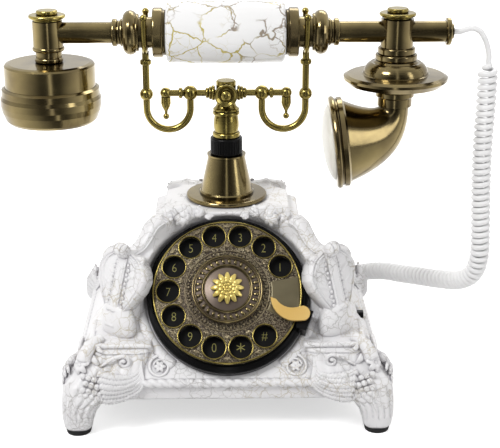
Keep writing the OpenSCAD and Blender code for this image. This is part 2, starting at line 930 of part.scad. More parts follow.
module hub_rosette() {
    color(gilt)
        translate([0, -7.4 - rest_gap, arm_z])
            rotate([90, 0, 0])
                rotate_extrude()
                    polygon(concat([[0, 0], [6.6, 0]], arc([6.2, 0.9], 0.7, -40, 100, 4),
                        [[4.4, 0.6], [3.7, 0.7]], arc([0, -0.9], 4, 20, 90, 6)));
}

// Half of the cradle's cross arm, turned about X
module arm(side) {
    color(brass)
        translate([0, 0, arm_z])
            rotate([0, side * 90, 0])
                difference() {
                    union() {
                        translate([0, 0, 4.4])
                            cylinder(r = 2, h = 30);
                        turned_ring(4.6, 6.6, 8.8);
                        turned_ring(4, 8.6, 10.4);
                        turned_ring(3.2, 10.2, 12.4);
                        translate([0, 0, ball_x])
                            sphere(r = 4.5);
                        turned_ring(3.3, 26.2, 28.6);
                        translate([0, 0, tip_x])
                            sphere(r = 3.4);
                    }
                    translate([0, 0, ball_x])
                        rotate([0, side * -90, 0])
                            translate([0, 0, -20 - 3])
                                cylinder(r = 2.1 + rest_gap, h = 20);
                    translate([0, 0, tip_x])
                        rotate([0, side * -90, 0])
                            translate([0, 0, -22.4])
                                cylinder(r = 3, h = 20);
                }
}

module arm_left() { arm(-1); }
module arm_right() { arm(1); }

ball_x = 21.6;
tip_x = 36.4;
fork_bend = neck_r + run_gap;
fork_rod = 1.6;
fork_ball = 2.1;

// Swan-neck hook from the arm's ball out to the fork that holds the handset's neck
module hook(side) {
    bar = 2.1;
    mid = (ball_x + fork_x) / 2;
    bow = (fork_x - ball_x) / 2;
    drop = arm_z - 22.6 + bow;
    color(brass)
        on_side(side) {
            translate([ball_x, 0, drop])
                cylinder(r = bar, h = arm_z - 3 - drop - rest_gap);
            translate([mid, 0, drop])
                rotate([-90, 0, 0])
                    rotate_extrude(angle = 180)
                        translate([bow, 0])
                            circle(r = bar);
            translate([fork_x, 0, drop])
                cylinder(r = bar, h = hand_z - fork_bend - fork_rod - drop);
            translate([fork_x, 0, arm_z - 0.6])
                sphere(r = 4);
            translate([fork_x, 0, 0])
                turned_ring(3.4, hand_z - 19.4, hand_z - 16.2);
            translate([fork_x, 0, hand_z])
                rotate([0, 90, 0])
                    rotate([0, 0, -90])
                        rotate_extrude(angle = 180)
                            translate([fork_bend + fork_rod, 0])
                                circle(r = fork_rod);
            for (y = [-1, 1])
                translate([fork_x, y * (fork_bend + fork_rod), hand_z]) {
                    cylinder(r = fork_rod, h = 10.4);
                    translate([0, y * (fork_ball - fork_rod), 10.6])
                        sphere(r = fork_ball);
                }
        }
}

// Turns its children, made on the +X side, to the side named by the sign
module on_side(side) {
    rotate([0, 0, side < 0 ? 180 : 0])
        children();
}

module hook_left() { hook(-1); }
module hook_right() { hook(1); }

// Turned drops under the arm ends
module pendants() {
    color(gilt)
        for (side = [-1, 1])
            translate([side * tip_x, 0, arm_z]) {
                rotate_extrude()
                    polygon([[0, -2.4 - rest_gap], [2.9, -2.4 - rest_gap], [3, -6.4], [2.4, -8.4], [1, -11],
                        [0.8, -13.2], [0, -13.2]]);
                translate([0, 0, -14.4])
                    sphere(r = 1.9);
            }
}

// ---------------------------------------------------------------- handset

module grip() {
    half = grip_l / 2 - rest_gap;
    end_r = 16.4;
    color(resin)
        in_handset()
            difference() {
                rotate_extrude($fn = 96)
                    polygon(concat([[0, -half], [13.4, -half]], arc([end_r - 1.6, -half + 3.4], 3.4, -90, -20, 5),
                        [for (i = [-6:6]) [grip_r - (grip_r - end_r - 1.3) * pow(abs(i) / 7, 3), i * 4.6]],
                        arc([end_r - 1.6, half - 3.4], 3.4, 20, 90, 5), [[0, half]]));
                cylinder(r = tie_r + rest_gap, h = 200, center = true);
            }
}

module tie_tube() {
    color(steel)
        in_handset()
            difference() {
                translate([0, 0, -(ear_x - barrel_l_r + 1)])
                    cylinder(r = tie_r, h = ear_x - barrel_l_r + mouth_x - barrel_r_r + 2);
                cylinder(r = tie_r - 1, h = 260, center = true);
            }
}

// Turned collar, neck, bulge and ring stack beside the grip
module grip_collar(side) {
    color(brass)
        on_side(side)
            in_handset()
                difference() {
                    union() {
                        turned_ring(13.6, collar_in, collar_in + 2.6);
                        turned_ring(14.7, collar_in + 1.6, collar_in + 7.8);
                        translate([0, 0, collar_in + 2])
                            cylinder(r = neck_r, h = 16);
                        turned_ring(11.2, fork_x + 3.4, fork_x + 5.6);
                        translate([0, 0, fork_x + 8.6])
                            rotate_extrude()
                                polygon(concat([[0, -4.2]], arc([8.8, 0], 4.4, -78, 78, 10), [[0, 4.2]]));
                        turned_ring(8.2, fork_x + 12.4, fork_x + 14.6);
                        turned_ring(7.2, fork_x + 14.2, fork_x + 16.6);
                        turned_ring(8.2, fork_x + 16.2, tube_start - rest_gap);
                    }
                    cylinder(r = tie_r + rest_gap, h = 200);
                }
}

module collar_left() { grip_collar(-1); }
module collar_right() { grip_collar(1); }

module arm_tube(side, axis_x, barrel_r) {
    color(brass)
        difference() {
            on_side(side)
                in_handset()
                    translate([0, 0, tube_start])
                        cylinder(r = hand_tube_r, h = axis_x - tube_start);
            in_handset()
                cylinder(r = tie_r + rest_gap, h = 240, center = true);
            translate([side * axis_x, 0, hand_z - 20])
                cylinder(r = barrel_r + rest_gap, h = 40);
        }
}

module arm_tubes() {
    arm_tube(-1, ear_x, barrel_l_r);
    arm_tube(1, mouth_x, barrel_r_r);
}

module barrel_left() {
    color(brass)
        translate([-ear_x, 0, hand_z])
            difference() {
                union() {
                    translate([0, 0, -8.6])
                        cylinder(r = barrel_l_r, h = 15.8);
                    turned_ring(barrel_l_r + 0.6, -10.6, -8);
                    translate([0, 0, -15.6])
                        cylinder(r = 7.8, h = 6);
                    turned_ring(8.4, ear_neck, ear_neck + 3);
                }
                rotate([0, 90, 0])
                    cylinder(r = tie_r + rest_gap, h = 40);
                translate([0, 0, 0.4])
                    cylinder(r = 2 + rest_gap, h = 20);
            }
}

module barrel_right() {
    color(brass)
        translate([mouth_x, 0, hand_z])
            difference() {
                union() {
                    translate([0, 0, -10.6])
                        cylinder(r = barrel_r_r, h = 18.4);
                    turned_ring(barrel_r_r + 1.4, -13.4, -9);
                    turned_ring(barrel_r_r + 2.8, saucer_top + rest_gap, -13);
                    rotate([0, 90, 0])
                        cylinder(r = hand_tube_r, h = gland_x);
                }
                rotate([0, -90, 0])
                    cylinder(r = tie_r + rest_gap, h = 40);
                rotate([0, 90, 0])
                    cylinder(r = 2.6, h = 60);
                translate([0, 0, 0.4])
                    cylinder(r = 2 + rest_gap, h = 20);
            }
}

// Cap nut on top of a barrel
module finial(axis_x, top) {
    translate([axis_x, 0, hand_z]) {
        translate([0, 0, top - 7.8])
            cylinder(r = 2, h = 4);
        turned_ring(8.6, top - 6.4, top - 4.6);
        turned_ring(11, top - 4.8, top - 2.6);
        turned_ring(6.4, top - 2.8, top);
    }
}

module finials() {
    color(gilt) {
        finial(-ear_x, 13.6);
        finial(mouth_x, 14.2);
    }
}

module earpiece_can() {
    top = ear_neck - rest_gap;
    color(brass)
        translate([-ear_x, 0, hand_z])
            difference() {
                rotate_extrude($fn = 96)
                    polygon([[0, -31.4], [can_r - 1.9, -31.4], [can_r - 1.9, -34], [can_r, -34],
                        [can_r, top - 1.6], [can_r - 0.9, top - 0.6], [can_r - 3.1, top], [0, top]]);
                translate([0, 0, -37.6])
                    cylinder(r = can_r - 2.7, h = top + 35.2);
                translate([0, 0, -27.6])
                    cylinder(r = 2, h = 14);
            }
}

cap_floor = -47;

module earpiece_cap() {
    hole_rows = [[0, 1], [4.4, 6], [8.8, 12]];
    color(brass)
        translate([-ear_x, 0, hand_z])
            difference() {
                rotate_extrude($fn = 96)
                    polygon([[0, -50.2], [ear_r - 16.2, -50.6], [ear_r - 6.2, -52.2], [ear_r - 4.2, -53],
                        [ear_r - 2.6, -51.4], [ear_r - 0.6, -46.2], [ear_r, -42.8], [ear_r, -38.8],
                        [ear_r - 0.8, -36.6], [ear_r - 1, -33], [can_r + 0.2, -31.8], [can_r + 0.2, -34.2],
                        [can_r - 2.1, -34.2], [can_r - 2.1, -40.6], [can_r - 4.1, cap_floor], [0, cap_floor]]);
                for (row = hole_rows, i = [0:row[1] - 1])
                    rotate([0, 0, i * 360 / row[1]])
                        translate([row[0], 0, -57.6])
                            cylinder(r = 1, h = 12, $fn = 24);
            }
}

module receiver_capsule() {
    inner = can_r - 3.1;
    color(steel)
        translate([-ear_x, 0, hand_z + cap_floor + rest_gap])
            rotate_extrude()
                polygon([[0, 0], [inner - 2.2, 0], [inner, 6], [inner, 11.8], [inner - 6, 14.2], [inner - 8, 19],
                    [0, 19]]);
}

module mouth_saucer() {
    neck = 10.4;
    color(brass)
        translate([mouth_x, 0, hand_z])
            difference() {
                rotate_extrude($fn = 96)
                    polygon(concat([[0, saucer_top], [12.2, saucer_top], [13.6, saucer_top - 1.2]],
                        arc([11.4, saucer_top - 8.4], 8.2, 62, 4, 6),
                        [[20.4, -25.2], [saucer_r - 2.4, -25.6], [saucer_r, -26.8], [saucer_r, -28.4],
                        [saucer_r - 3.4, -31.6], [13, -35.2], [neck + 1.2, -36.2], [neck + 1.2, -38.8],
                        [neck, -39.8], [neck, mouth_neck + rest_gap], [0, mouth_neck + rest_gap]]));
                translate([0, 0, -57.6])
                    cylinder(r = 2.6, h = 60);
            }
}

horn_steps = 12;
horn_sides = 32;
horn_neck_r = 8.7;
horn_back_r = 25.2;
horn_wall = 1.8;
ring_depth = 9.2;
horn_back = horn_face + ring_depth * [cos(horn_tilt), sin(horn_tilt)];
horn_across = [sin(horn_tilt), -cos(horn_tilt)];

// Outlines of the horn in its plane of symmetry, X and Z: outside of the bend, then inside
horn_outer = [[mouth_x + horn_neck_r, mouth_neck], [mouth_x + horn_neck_r, -67.6], [mouth_x + 0.8, -80.6],
    horn_back + horn_back_r * horn_across];
horn_inner = [[mouth_x - horn_neck_r, mouth_neck], [mouth_x - horn_neck_r - 1, -48.6],
    [mouth_x - 20.2, -47.1], horn_back - horn_back_r * horn_across];

function bezier(p, t) =
    pow(1 - t, 3) * p[0] + 3 * pow(1 - t, 2) * t * p[1] + 3 * (1 - t) * t * t * p[2] + pow(t, 3) * p[3];

// Round section between the two outlines, shrunk by a wall
function horn_section(t, wall) =
    let (a = bezier(horn_outer, t), b = bezier(horn_inner, t), c = (a + b) / 2, u = unit(a - c),
        r = norm(a - c) - wall)
    [for (j = [0:horn_sides - 1])
        let (turn = 360 * j / horn_sides)
        [c.x + r * cos(turn) * u.x, -r * sin(turn), c.y + r * cos(turn) * u.y]];

module mouth_horn() {
    color(brass)
        translate([0, 0, hand_z])
            loft_loop(concat([for (i = [0:horn_steps]) horn_section(i / horn_steps, 0)],
                [for (i = [horn_steps:-1:0]) horn_section(i / horn_steps, horn_wall)]));
}

// Places its children at the horn's mouth, with Z out of it
module in_mouth() {
    translate([horn_face.x, 0, hand_z + horn_face.y])
        rotate([0, -90 - horn_tilt, 0])
            children();
}

module horn_ring() {
    color(brass)
        in_mouth()
            difference() {
                rotate_extrude($fn = 96)
                    polygon(concat([[23.4, -9.2], [25.8, -9.2], [27.6, -8], [27.6, -5.4], [26.8, -4.8]],
                        arc([horn_r - 2, -2.2], 2, -80, 80, 6), [[23.4, 0]]));
                translate([0, 0, -10])
                    cylinder(r = 23.4, h = 3);
            }
}

module mic_capsule() {
    color(steel)
        in_mouth()
            translate([0, 0, -8.2])
                cylinder(r = 12, h = 5.4);
}

module mouth_cover() {
    cover_r = 23.4 - rest_gap;
    color(cream)
        in_mouth()
            rotate_extrude($fn = 96)
                polygon(concat([[0, -2.6], [cover_r, -2.6], [cover_r, -0.8]],
                    [for (i = [1:8]) let (a = i * 90 / 8) [cover_r * cos(a), -0.8 + 6.6 * sin(a)]]));
}

module cord_gland() {
    color(brass)
        in_handset()
            difference() {
                union() {
                    turned_ring(8.2, mouth_x + gland_x + rest_gap, mouth_x + gland_x + 3);
                    translate([0, 0, mouth_x + gland_x + 1])
                        cylinder(r = 4.4, h = gland_end - mouth_x - gland_x - 1);
                }
                translate([0, 0, mouth_x + gland_x - 9])
                    cylinder(r = cord_d / 2 + 0.1, h = gland_end - mouth_x - gland_x + 7.5);
            }
}

// ---------------------------------------------------------------- cord

module cord_tail_handset() {
    color(resin)
        loft(tube_rings(tail_top_route, cord_d / 2, 8));
}

module cord_coil() {
    color(resin)
        loft(tube_rings(coil_route, coil_d / 2, 12));
}

module cord_tail_base() {
    color(resin)
        loft(tube_rings(tail_base_route, cord_d / 2, 8));
}

base_shell();
base_plate();
screws();
foot_pads();
main_board();
ringer_speaker();
ringer_switch();
ringer_knob();
cord_inlet();
line_jack();
dial_bezel();
dial_cup();
number_plate();
finger_wheel();
dial_medallion();
dial_shaft();
main_gear();
return_spring();
governor();
dial_frame();
pulse_contacts();
stop_block();
finger_stop();
post_flange();
post_cone();
knurled_collar();
column();
post_tube();
post_nut();
plunger_rod();
plunger_spring();
hook_switch();
hook_lever();
cradle_hub();
hub_rosette();
arm_left();
arm_right();
hook_left();
hook_right();
pendants();
grip();
tie_tube();
collar_left();
collar_right();
arm_tubes();
barrel_left();
barrel_right();
finials();
earpiece_can();
earpiece_cap();
receiver_capsule();
mouth_saucer();
mouth_horn();
mic_capsule();
horn_ring();
mouth_cover();
cord_gland();
cord_tail_handset();
cord_coil();
cord_tail_base();
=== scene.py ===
"""Pedestal rotary telephone: looks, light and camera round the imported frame."""

import json
import math

import bpy
import bmesh
import numpy as np
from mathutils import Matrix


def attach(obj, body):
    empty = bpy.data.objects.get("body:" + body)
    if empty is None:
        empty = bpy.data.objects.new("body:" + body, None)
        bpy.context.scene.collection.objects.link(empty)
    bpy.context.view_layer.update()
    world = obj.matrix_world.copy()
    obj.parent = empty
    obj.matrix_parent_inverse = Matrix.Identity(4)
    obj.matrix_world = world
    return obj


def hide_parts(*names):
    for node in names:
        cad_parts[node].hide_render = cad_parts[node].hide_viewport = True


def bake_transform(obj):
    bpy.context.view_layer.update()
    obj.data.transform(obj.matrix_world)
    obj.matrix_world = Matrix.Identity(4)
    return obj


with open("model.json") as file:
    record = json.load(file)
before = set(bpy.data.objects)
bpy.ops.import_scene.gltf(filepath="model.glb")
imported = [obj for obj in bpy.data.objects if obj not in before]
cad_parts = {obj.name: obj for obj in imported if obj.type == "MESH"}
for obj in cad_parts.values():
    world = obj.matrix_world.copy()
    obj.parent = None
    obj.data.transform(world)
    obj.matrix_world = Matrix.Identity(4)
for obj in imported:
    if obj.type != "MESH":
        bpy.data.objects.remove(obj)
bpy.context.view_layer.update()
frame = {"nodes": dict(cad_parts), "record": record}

MM = 0.001

# The telephone's own sizes in millimetres and degrees, as the frame has them; the lean is in radians
LEAN = math.atan2(68, 81)
RAIL_TOP = 34.0
RAIL_HALF = 87.0
BACK_INSET = 10.0
PLATFORM_FRONT = 35.0
PLATFORM_BACK = 28.0
DIAL_Z = 70.6
WHEEL_R = 43.6
HOLE_R = 6.6
HOLE_RING_R = 34.6
FIRST_HOLE = 25.6
HOLE_PITCH = 25.7
HOLES = 12
HOLE_RIM_TOP = 12.25
PLATE_TOP = 6.8
WHEEL_RIM_TOP = 11.2
WHEEL_DISH = 2.0
HUB_TOP = 14.2

CAMERA_DISTANCE = 750.0
CAMERA_HEIGHT = 360.8
CAMERA_PITCH = 19.4
CAMERA_YAW = 1.105
FOCAL_PIXELS = 1270.0
IMAGE_WIDTH = 500.0
LAMP_AIM = np.array((0, 0, 0.12))
FLOOR_REACH = 6.0
SQUARE = ((-1, -1), (1, -1), (1, 1), (-1, 1))


def add_object(name, data):
    """A new object of that data, linked into the scene"""
    obj = bpy.data.objects.new(name, data)
    bpy.context.scene.collection.objects.link(obj)
    return obj


# ---------------------------------------------------------------- camera, floor and light


def make_camera():
    """Camera in front, looking down a little, whose lens gives the focal length in pixels"""
    data = bpy.data.cameras.new("camera")
    data.sensor_width = 36
    data.lens = FOCAL_PIXELS / IMAGE_WIDTH * data.sensor_width
    data.clip_end = 20
    camera = add_object("camera", data)
    camera.location = (0, -CAMERA_DISTANCE * MM, CAMERA_HEIGHT * MM)
    camera.rotation_euler = (math.radians(90 - CAMERA_PITCH), 0, math.radians(-CAMERA_YAW))
    bpy.context.scene.camera = camera


def make_lamp(name, place, size, power):
    """Rectangular lamp, aimed at the middle of the telephone"""
    data = bpy.data.lights.new(name, "AREA")
    data.shape = "RECTANGLE"
    data.size, data.size_y = size
    data.energy = power
    lamp = add_object(name, data)
    lamp.location = place
    x, y, z = LAMP_AIM - np.array(place)
    lamp.rotation_euler = (math.atan2(math.hypot(x, y), -z), 0, math.atan2(-x, y))


def seen_in_metal(n, direction):
    """How light the studio looks in polished metal: dark in front, with one narrow strip of light,
    and white behind. Light = rise with y, or the strip where x is near 0 and y is negative."""
    parts = n.add("SeparateXYZ", {0: direction}).outputs
    around = n.ramp(parts["Y"], -0.92, 0.15)
    strip = n.ramp(n.math("ABSOLUTE", parts["X"]), 0.07, 0.035)
    in_front = n.math("MULTIPLY", strip, n.math("LESS_THAN", parts["Y"], 0.0))
    return n.math("MAXIMUM", around, n.math("MULTIPLY", in_front, 0.9))


def make_world():
    """White for the camera and behind the object in reflections; its light comes from a pale room,
    dimmer in front"""
    world = bpy.data.worlds.new("studio")
    bpy.context.scene.world = world
    world.use_nodes = True
    n = Nodes(world.node_tree)
    n.tree.nodes.clear()
    direction = n.add("TexCoord").outputs["Generated"]
    forward = n.add("SeparateXYZ", {0: direction}).outputs["Y"]
    behind = n.ramp(forward, -1.0, 0.7, 0.34, 0.78)
    seen = seen_in_metal(n, direction)
    camera, mirror = n.looks()
    dark = n.add("Background", {"Color": (0.05, 0.048, 0.045, 1)})
    white = n.add("Background", {"Color": (1, 1, 1, 1)})
    room = n.add("Background", {"Color": (1, 0.985, 0.97, 1), "Strength": behind})
    reflected = n.either(seen, dark, white)
    shown = n.either(camera, n.either(mirror, room, reflected), white)
    n.add("OutputWorld", {"Surface": shown.outputs[0]})


def make_floor():
    """Pale floor whose own glow, to the camera and in reflections, rises away from the shadow"""
    mesh = bpy.data.meshes.new("floor")
    mesh.from_pydata([(x * FLOOR_REACH, y * FLOOR_REACH, 0) for x, y in SQUARE], [], [(0, 1, 2, 3)])
    floor = add_object("floor", mesh)
    material, n, shader = start_material("pale_floor", roughness=0.8)
    place = n.place()
    camera, mirror = n.looks()
    seen = seen_in_metal(n, n.add("VectorMath", {0: place}, operation="NORMALIZE").outputs[0])
    # Painted reflection: to glossy and transmission rays the floor's colour and glow fall to dark in
    # front, as seen_in_metal gives, so that metal shows a dark studio with one strip of light; to the
    # camera the floor stays pale
    level = n.math("SUBTRACT", 1.0, n.math("MULTIPLY", mirror, n.math("SUBTRACT", 1.0, seen)))
    n.join(n.mix(level, (0.05, 0.05, 0.05), (0.80, 0.80, 0.80)), shader, "Base Color")
    far = n.add("VectorMath", {0: place}, operation="LENGTH").outputs["Value"]
    glow = n.ramp(far, 0.15, 0.7, 0.60, 0.80)
    looked_at = n.math("MULTIPLY", n.math("ADD", camera, mirror), level)
    strength = n.math("MULTIPLY", glow, looked_at)
    glowing = n.add("Emission", {"Color": (1, 1, 1, 1), "Strength": strength})
    both = n.add("AddShader", {0: shader.outputs[0], 1: glowing.outputs[0]})
    n.join(both.outputs[0], n.tree.nodes["Material Output"], "Surface")
    mesh.materials.append(material)


# ---------------------------------------------------------------- materials


class Nodes:
    """A short way to add and join the nodes of one tree."""

    def __init__(self, tree):
        self.tree = tree

    def add(self, kind, values=None, **settings):
        """A node with its settings, and its inputs joined or given a value"""
        node = self.tree.nodes.new("ShaderNode" + kind)
        for key, value in settings.items():
            setattr(node, key, value)
        for key, value in (values or {}).items():
            if isinstance(value, bpy.types.NodeSocket):
                self.join(value, node, key)
            else:
                node.inputs[key].default_value = value
        return node

    def join(self, socket, node, key):
        """Joins an output socket to a node's input"""
        self.tree.links.new(socket, node.inputs[key])

    def math(self, operation, *values):
        """One step of arithmetic on sockets and numbers"""
        return self.add("Math", dict(enumerate(values)), operation=operation).outputs[0]

    def mix(self, factor, a, b):
        """Colour a where the factor is 0 and b where it is 1"""
        a, b = ((*c, 1) if isinstance(c, tuple) else c for c in (a, b))
        return self.add("Mix", {0: factor, 6: a, 7: b}, data_type="RGBA").outputs[2]

    def either(self, factor, a, b):
        """Shader a where the factor is 0 and b where it is 1"""
        return self.add("MixShader", {0: factor, 1: a.outputs[0], 2: b.outputs[0]})

    def ramp(self, value, low, high, start=0.0, end=1.0):
        """A straight rise from start at low to end at high, and level outside them"""
        return self.add("MapRange", {"Value": value, "From Min": low, "From Max": high,
                                     "To Min": start, "To Max": end}).outputs[0]

    def place(self):
        """The object's own coordinates"""
        return self.add("TexCoord").outputs["Object"]

    def noise(self, scale, detail, place=None):
        """Noise of a scale on the object's own place, or on another one"""
        values = {"Vector": place or self.place(), "Scale": scale, "Detail": detail}
        return self.add("TexNoise", values).outputs

    def looks(self):
        """1 for what the camera sees, and 1 for what shows in metal or through glass"""
        rays = self.add("LightPath").outputs
        mirror = self.math("ADD", rays["Is Glossy Ray"], rays["Is Transmission Ray"])
        return rays["Is Camera Ray"], mirror

    def group(self, tree, **values):
        """A shared group placed in this tree with its own values: its outputs"""
        node = self.add("Group")
        node.node_tree = tree
        for key, value in values.items():
            node.inputs[key].default_value = value
        return node.outputs

    def dress(self, shader, colour, height, strength, distance):
        """Joins a colour to the shader, and a height as its bump"""
        self.join(colour, shader, "Base Color")
        bump = self.add("Bump", {"Height": height, "Strength": strength, "Distance": distance})
        self.join(bump.outputs[0], shader, "Normal")


def start_group(name, inputs, outputs):
    """An empty shader node group with named number sockets: its helper, inputs and output node"""
    tree = bpy.data.node_groups.new(name, "ShaderNodeTree")
    for label, value in inputs.items():
        socket = tree.interface.new_socket(label, in_out="INPUT", socket_type="NodeSocketFloat")
        socket.default_value = value
    for label in outputs:
        tree.interface.new_socket(label, in_out="OUTPUT", socket_type="NodeSocketFloat")
    given = tree.nodes.new("NodeGroupInput").outputs
    return Nodes(tree), given, tree.nodes.new("NodeGroupOutput")


def make_crackle_group():
    """Fine branching cracks: the edges of warped cells, broken up by a slow noise"""
    n, given, result = start_group("crackle", {"Cells": 120.0, "Width": 0.03, "Break": 0.4},
                                   ["Crack"])
    place = n.place()
    warp = n.noise(160.0, 2.0, place)["Color"]
    shift = n.add("VectorMath", {0: warp, 1: (0.5, 0.5, 0.5)}, operation="SUBTRACT")
    bend = n.add("VectorMath", {0: shift.outputs[0], "Scale": 0.006}, operation="SCALE")
    warped = n.add("VectorMath", {0: place, 1: bend.outputs[0]}, operation="ADD")
    cells = n.add("TexVoronoi", {"Vector": warped.outputs[0], "Scale": given["Cells"]},
                  feature="DISTANCE_TO_EDGE")
    near = n.math("SUBTRACT", 1.0, n.math("DIVIDE", cells.outputs["Distance"], given["Width"]))
    line = n.math("MAXIMUM", near, 0.0)
    slow = n.noise(45.0, 1.0, place)["Fac"]
    kept = n.ramp(slow, given["Break"], n.math("ADD", given["Break"], 0.12))
    n.join(n.math("MULTIPLY", line, kept), result, "Crack")
    return n.tree


def make_hollow_group():
    """Up to 1 in the hollows of the carving, by how much of the sky near the surface is covered"""
    n, given, result = start_group("hollow", {"Reach": 0.003, "Low": 0.5, "High": 0.95},
                                   ["Hollow"])
    open_sky = n.add("AmbientOcclusion", {"Distance": given["Reach"]}, samples=8)
    n.join(n.ramp(open_sky.outputs["AO"], given["High"], given["Low"]), result, "Hollow")
    return n.tree


def make_patina_group():
    """Uneven patina: a slow cloud and a fine brushed grain, both round 0.5"""
    n, given, result = start_group("patina", {"Scale": 60.0}, ["Cloud", "Grain"])
    place = n.place()
    squeezed = n.add("Mapping", {"Vector": place, "Scale": (1.0, 1.0, 14.0)}).outputs[0]
    n.join(n.noise(given["Scale"], 3.0, place)["Fac"], result, "Cloud")
    n.join(n.noise(900.0, 2.0, squeezed)["Fac"], result, "Grain")
    return n.tree


CRACKLE = make_crackle_group()
HOLLOW = make_hollow_group()
PATINA = make_patina_group()


def start_material(name, metallic=0.0, roughness=0.5, **plain):
    """A new material with plain values on its shader: the material, its helper and the shader"""
    material = bpy.data.materials.new(name)
    material.use_nodes = True
    shader = material.node_tree.nodes["Principled BSDF"]
    shader.inputs["Metallic"].default_value = metallic
    shader.inputs["Roughness"].default_value = roughness
    for key, value in plain.items():
        shader.inputs[key.replace("_", " ")].default_value = value
    return material, Nodes(material.node_tree), shader


def resin_material():
    """White cast resin: a fine net of grey cracks, and painted grey shade in the hollows of its carving
    """
    material, n, shader = start_material("white_crackle_resin", roughness=0.46, Coat_Weight=0.15,
                                         Coat_Roughness=0.25)
    fine = n.group(CRACKLE, Cells=230.0, Width=0.06, Break=0.44)["Crack"]
    wide = n.group(CRACKLE, Cells=105.0, Width=0.034, Break=0.38)["Crack"]
    crack = n.math("MAXIMUM", n.math("MULTIPLY", fine, 0.7), wide)
    cloud = n.group(PATINA, Scale=22.0)["Cloud"]
    white = n.mix(cloud, (0.79, 0.785, 0.80), (0.87, 0.865, 0.87))
    # Painted shade: where little sky is seen near the surface, the resin's white is mixed towards grey,
    # standing in for the shade that falls in the hollows
    narrow = n.group(HOLLOW, Reach=0.0014, Low=0.45, High=0.9)["Hollow"]
    broad = n.group(HOLLOW, Reach=0.006, Low=0.3, High=0.95)["Hollow"]
    hollow = n.math("ADD", n.math("MULTIPLY", narrow, 0.6), n.math("MULTIPLY", broad, 0.4))
    white_with_painted_shade = n.mix(n.math("MULTIPLY", hollow, 0.75), white, (0.40, 0.39, 0.42))
    tint = n.mix(n.ramp(cloud, 0.50, 0.60), (0.40, 0.385, 0.37), (0.52, 0.46, 0.34))
    colour = n.mix(n.math("MULTIPLY", crack, 0.8), white_with_painted_shade, tint)
    grain = n.noise(420.0, 3.0)["Fac"]
    height = n.math("SUBTRACT", n.math("MULTIPLY", grain, 0.25), crack)
    n.dress(shader, colour, height, 0.55, 0.0003)
    return material


def grip_material():
    """Glossy white enamel over gold: a wide net of gold cracks with finer grey branches"""
    material, n, shader = start_material("grip_crackle_enamel", roughness=0.24, Coat_Weight=0.5,
                                         Coat_Roughness=0.06)
    wide = n.group(CRACKLE, Cells=62.0, Width=0.03, Break=0.36)["Crack"]
    fine = n.group(CRACKLE, Cells=150.0, Width=0.035, Break=0.46)["Crack"]
    cloud = n.group(PATINA, Scale=30.0)["Cloud"]
    tint = n.mix(n.ramp(cloud, 0.44, 0.54), (0.30, 0.25, 0.20), (0.52, 0.43, 0.10))
    crack = n.math("MAXIMUM", n.math("MULTIPLY", wide, 1.7), n.math("MULTIPLY", fine, 0.7))
    colour = n.mix(n.math("MINIMUM", crack, 1.0), (0.86, 0.86, 0.86), tint)
    n.dress(shader, colour, n.math("SUBTRACT", 0.0, crack), 0.5, 0.0003)
    return material


def metal_material(name, dark, light, roughness, metallic=1.0):
    """Metal whose colour wanders between two tones, darker in hollows, with a fine brushed grain"""
    material, n, shader = start_material(name, metallic=metallic, roughness=roughness)
    patina = n.group(PATINA, Scale=38.0)
    hollow = n.group(HOLLOW, Reach=0.003, Low=0.35, High=0.9)["Hollow"]
    tone = n.mix(n.ramp(patina["Cloud"], 0.36, 0.64), dark, light)
    deep = n.mix(n.math("MULTIPLY", hollow, 0.85), tone, tuple(0.22 * c for c in dark))
    n.join(n.math("MULTIPLY_ADD", patina["Grain"], 0.12, roughness - 0.06), shader, "Roughness")
    n.dress(shader, deep, patina["Grain"], 0.2, 0.00003)
    return material


def plastic_material(name, colour, other, roughness, coat=0.0, bump_depth=0.00006, shine=0.5):
    """Moulded plastic or paint: two close tones, a slight grain and a little coat"""
    material, n, shader = start_material(name, roughness=roughness, Coat_Weight=coat,
                                         Coat_Roughness=0.08, Specular_IOR_Level=shine)
    cloud = n.group(PATINA, Scale=60.0)["Cloud"]
    n.dress(shader, n.mix(cloud, colour, other), n.noise(1500.0, 2.0)["Fac"], 0.2, bump_depth)
    return material


def relief_brass_material():
    """Embossed antique brass of the dial: fine chased scrolls, bright on top and dark below"""
    material, n, shader = start_material("embossed_antique_brass", metallic=0.75, roughness=0.38)
    place = n.place()
    scroll = n.add("TexWave", {"Vector": place, "Scale": 210.0, "Distortion": 20.0, "Detail": 2.0,
                               "Detail Scale": 1.3, "Detail Roughness": 0.6}, wave_type="RINGS")
    leaf = n.add("TexWave", {"Vector": place, "Scale": 420.0, "Distortion": 10.0, "Detail": 1.0,
                             "Detail Scale": 2.4})
    chased = n.math("MULTIPLY", n.ramp(scroll.outputs["Fac"], 0.2, 0.75),
                    n.ramp(leaf.outputs["Fac"], 0.05, 0.6))
    cloud = n.group(PATINA, Scale=70.0)["Cloud"]
    top = n.mix(n.ramp(cloud, 0.35, 0.65), (0.33, 0.27, 0.18), (0.50, 0.43, 0.27))
    n.dress(shader, n.mix(chased, (0.055, 0.042, 0.032), top), chased, 0.6, 0.0003)
    return material


def cord_material():
    """Soft white plastic of the cord, slightly uneven, with a faint sheen"""
    material, n, shader = start_material("white_cord_plastic", roughness=0.38, Coat_Weight=0.2,
                                         Coat_Roughness=0.25)
    white = n.mix(n.group(PATINA, Scale=35.0)["Cloud"], (0.84, 0.84, 0.85), (0.92, 0.92, 0.92))
    n.dress(shader, white, n.noise(900.0, 2.0)["Fac"], 0.15, 0.0001)
    return material


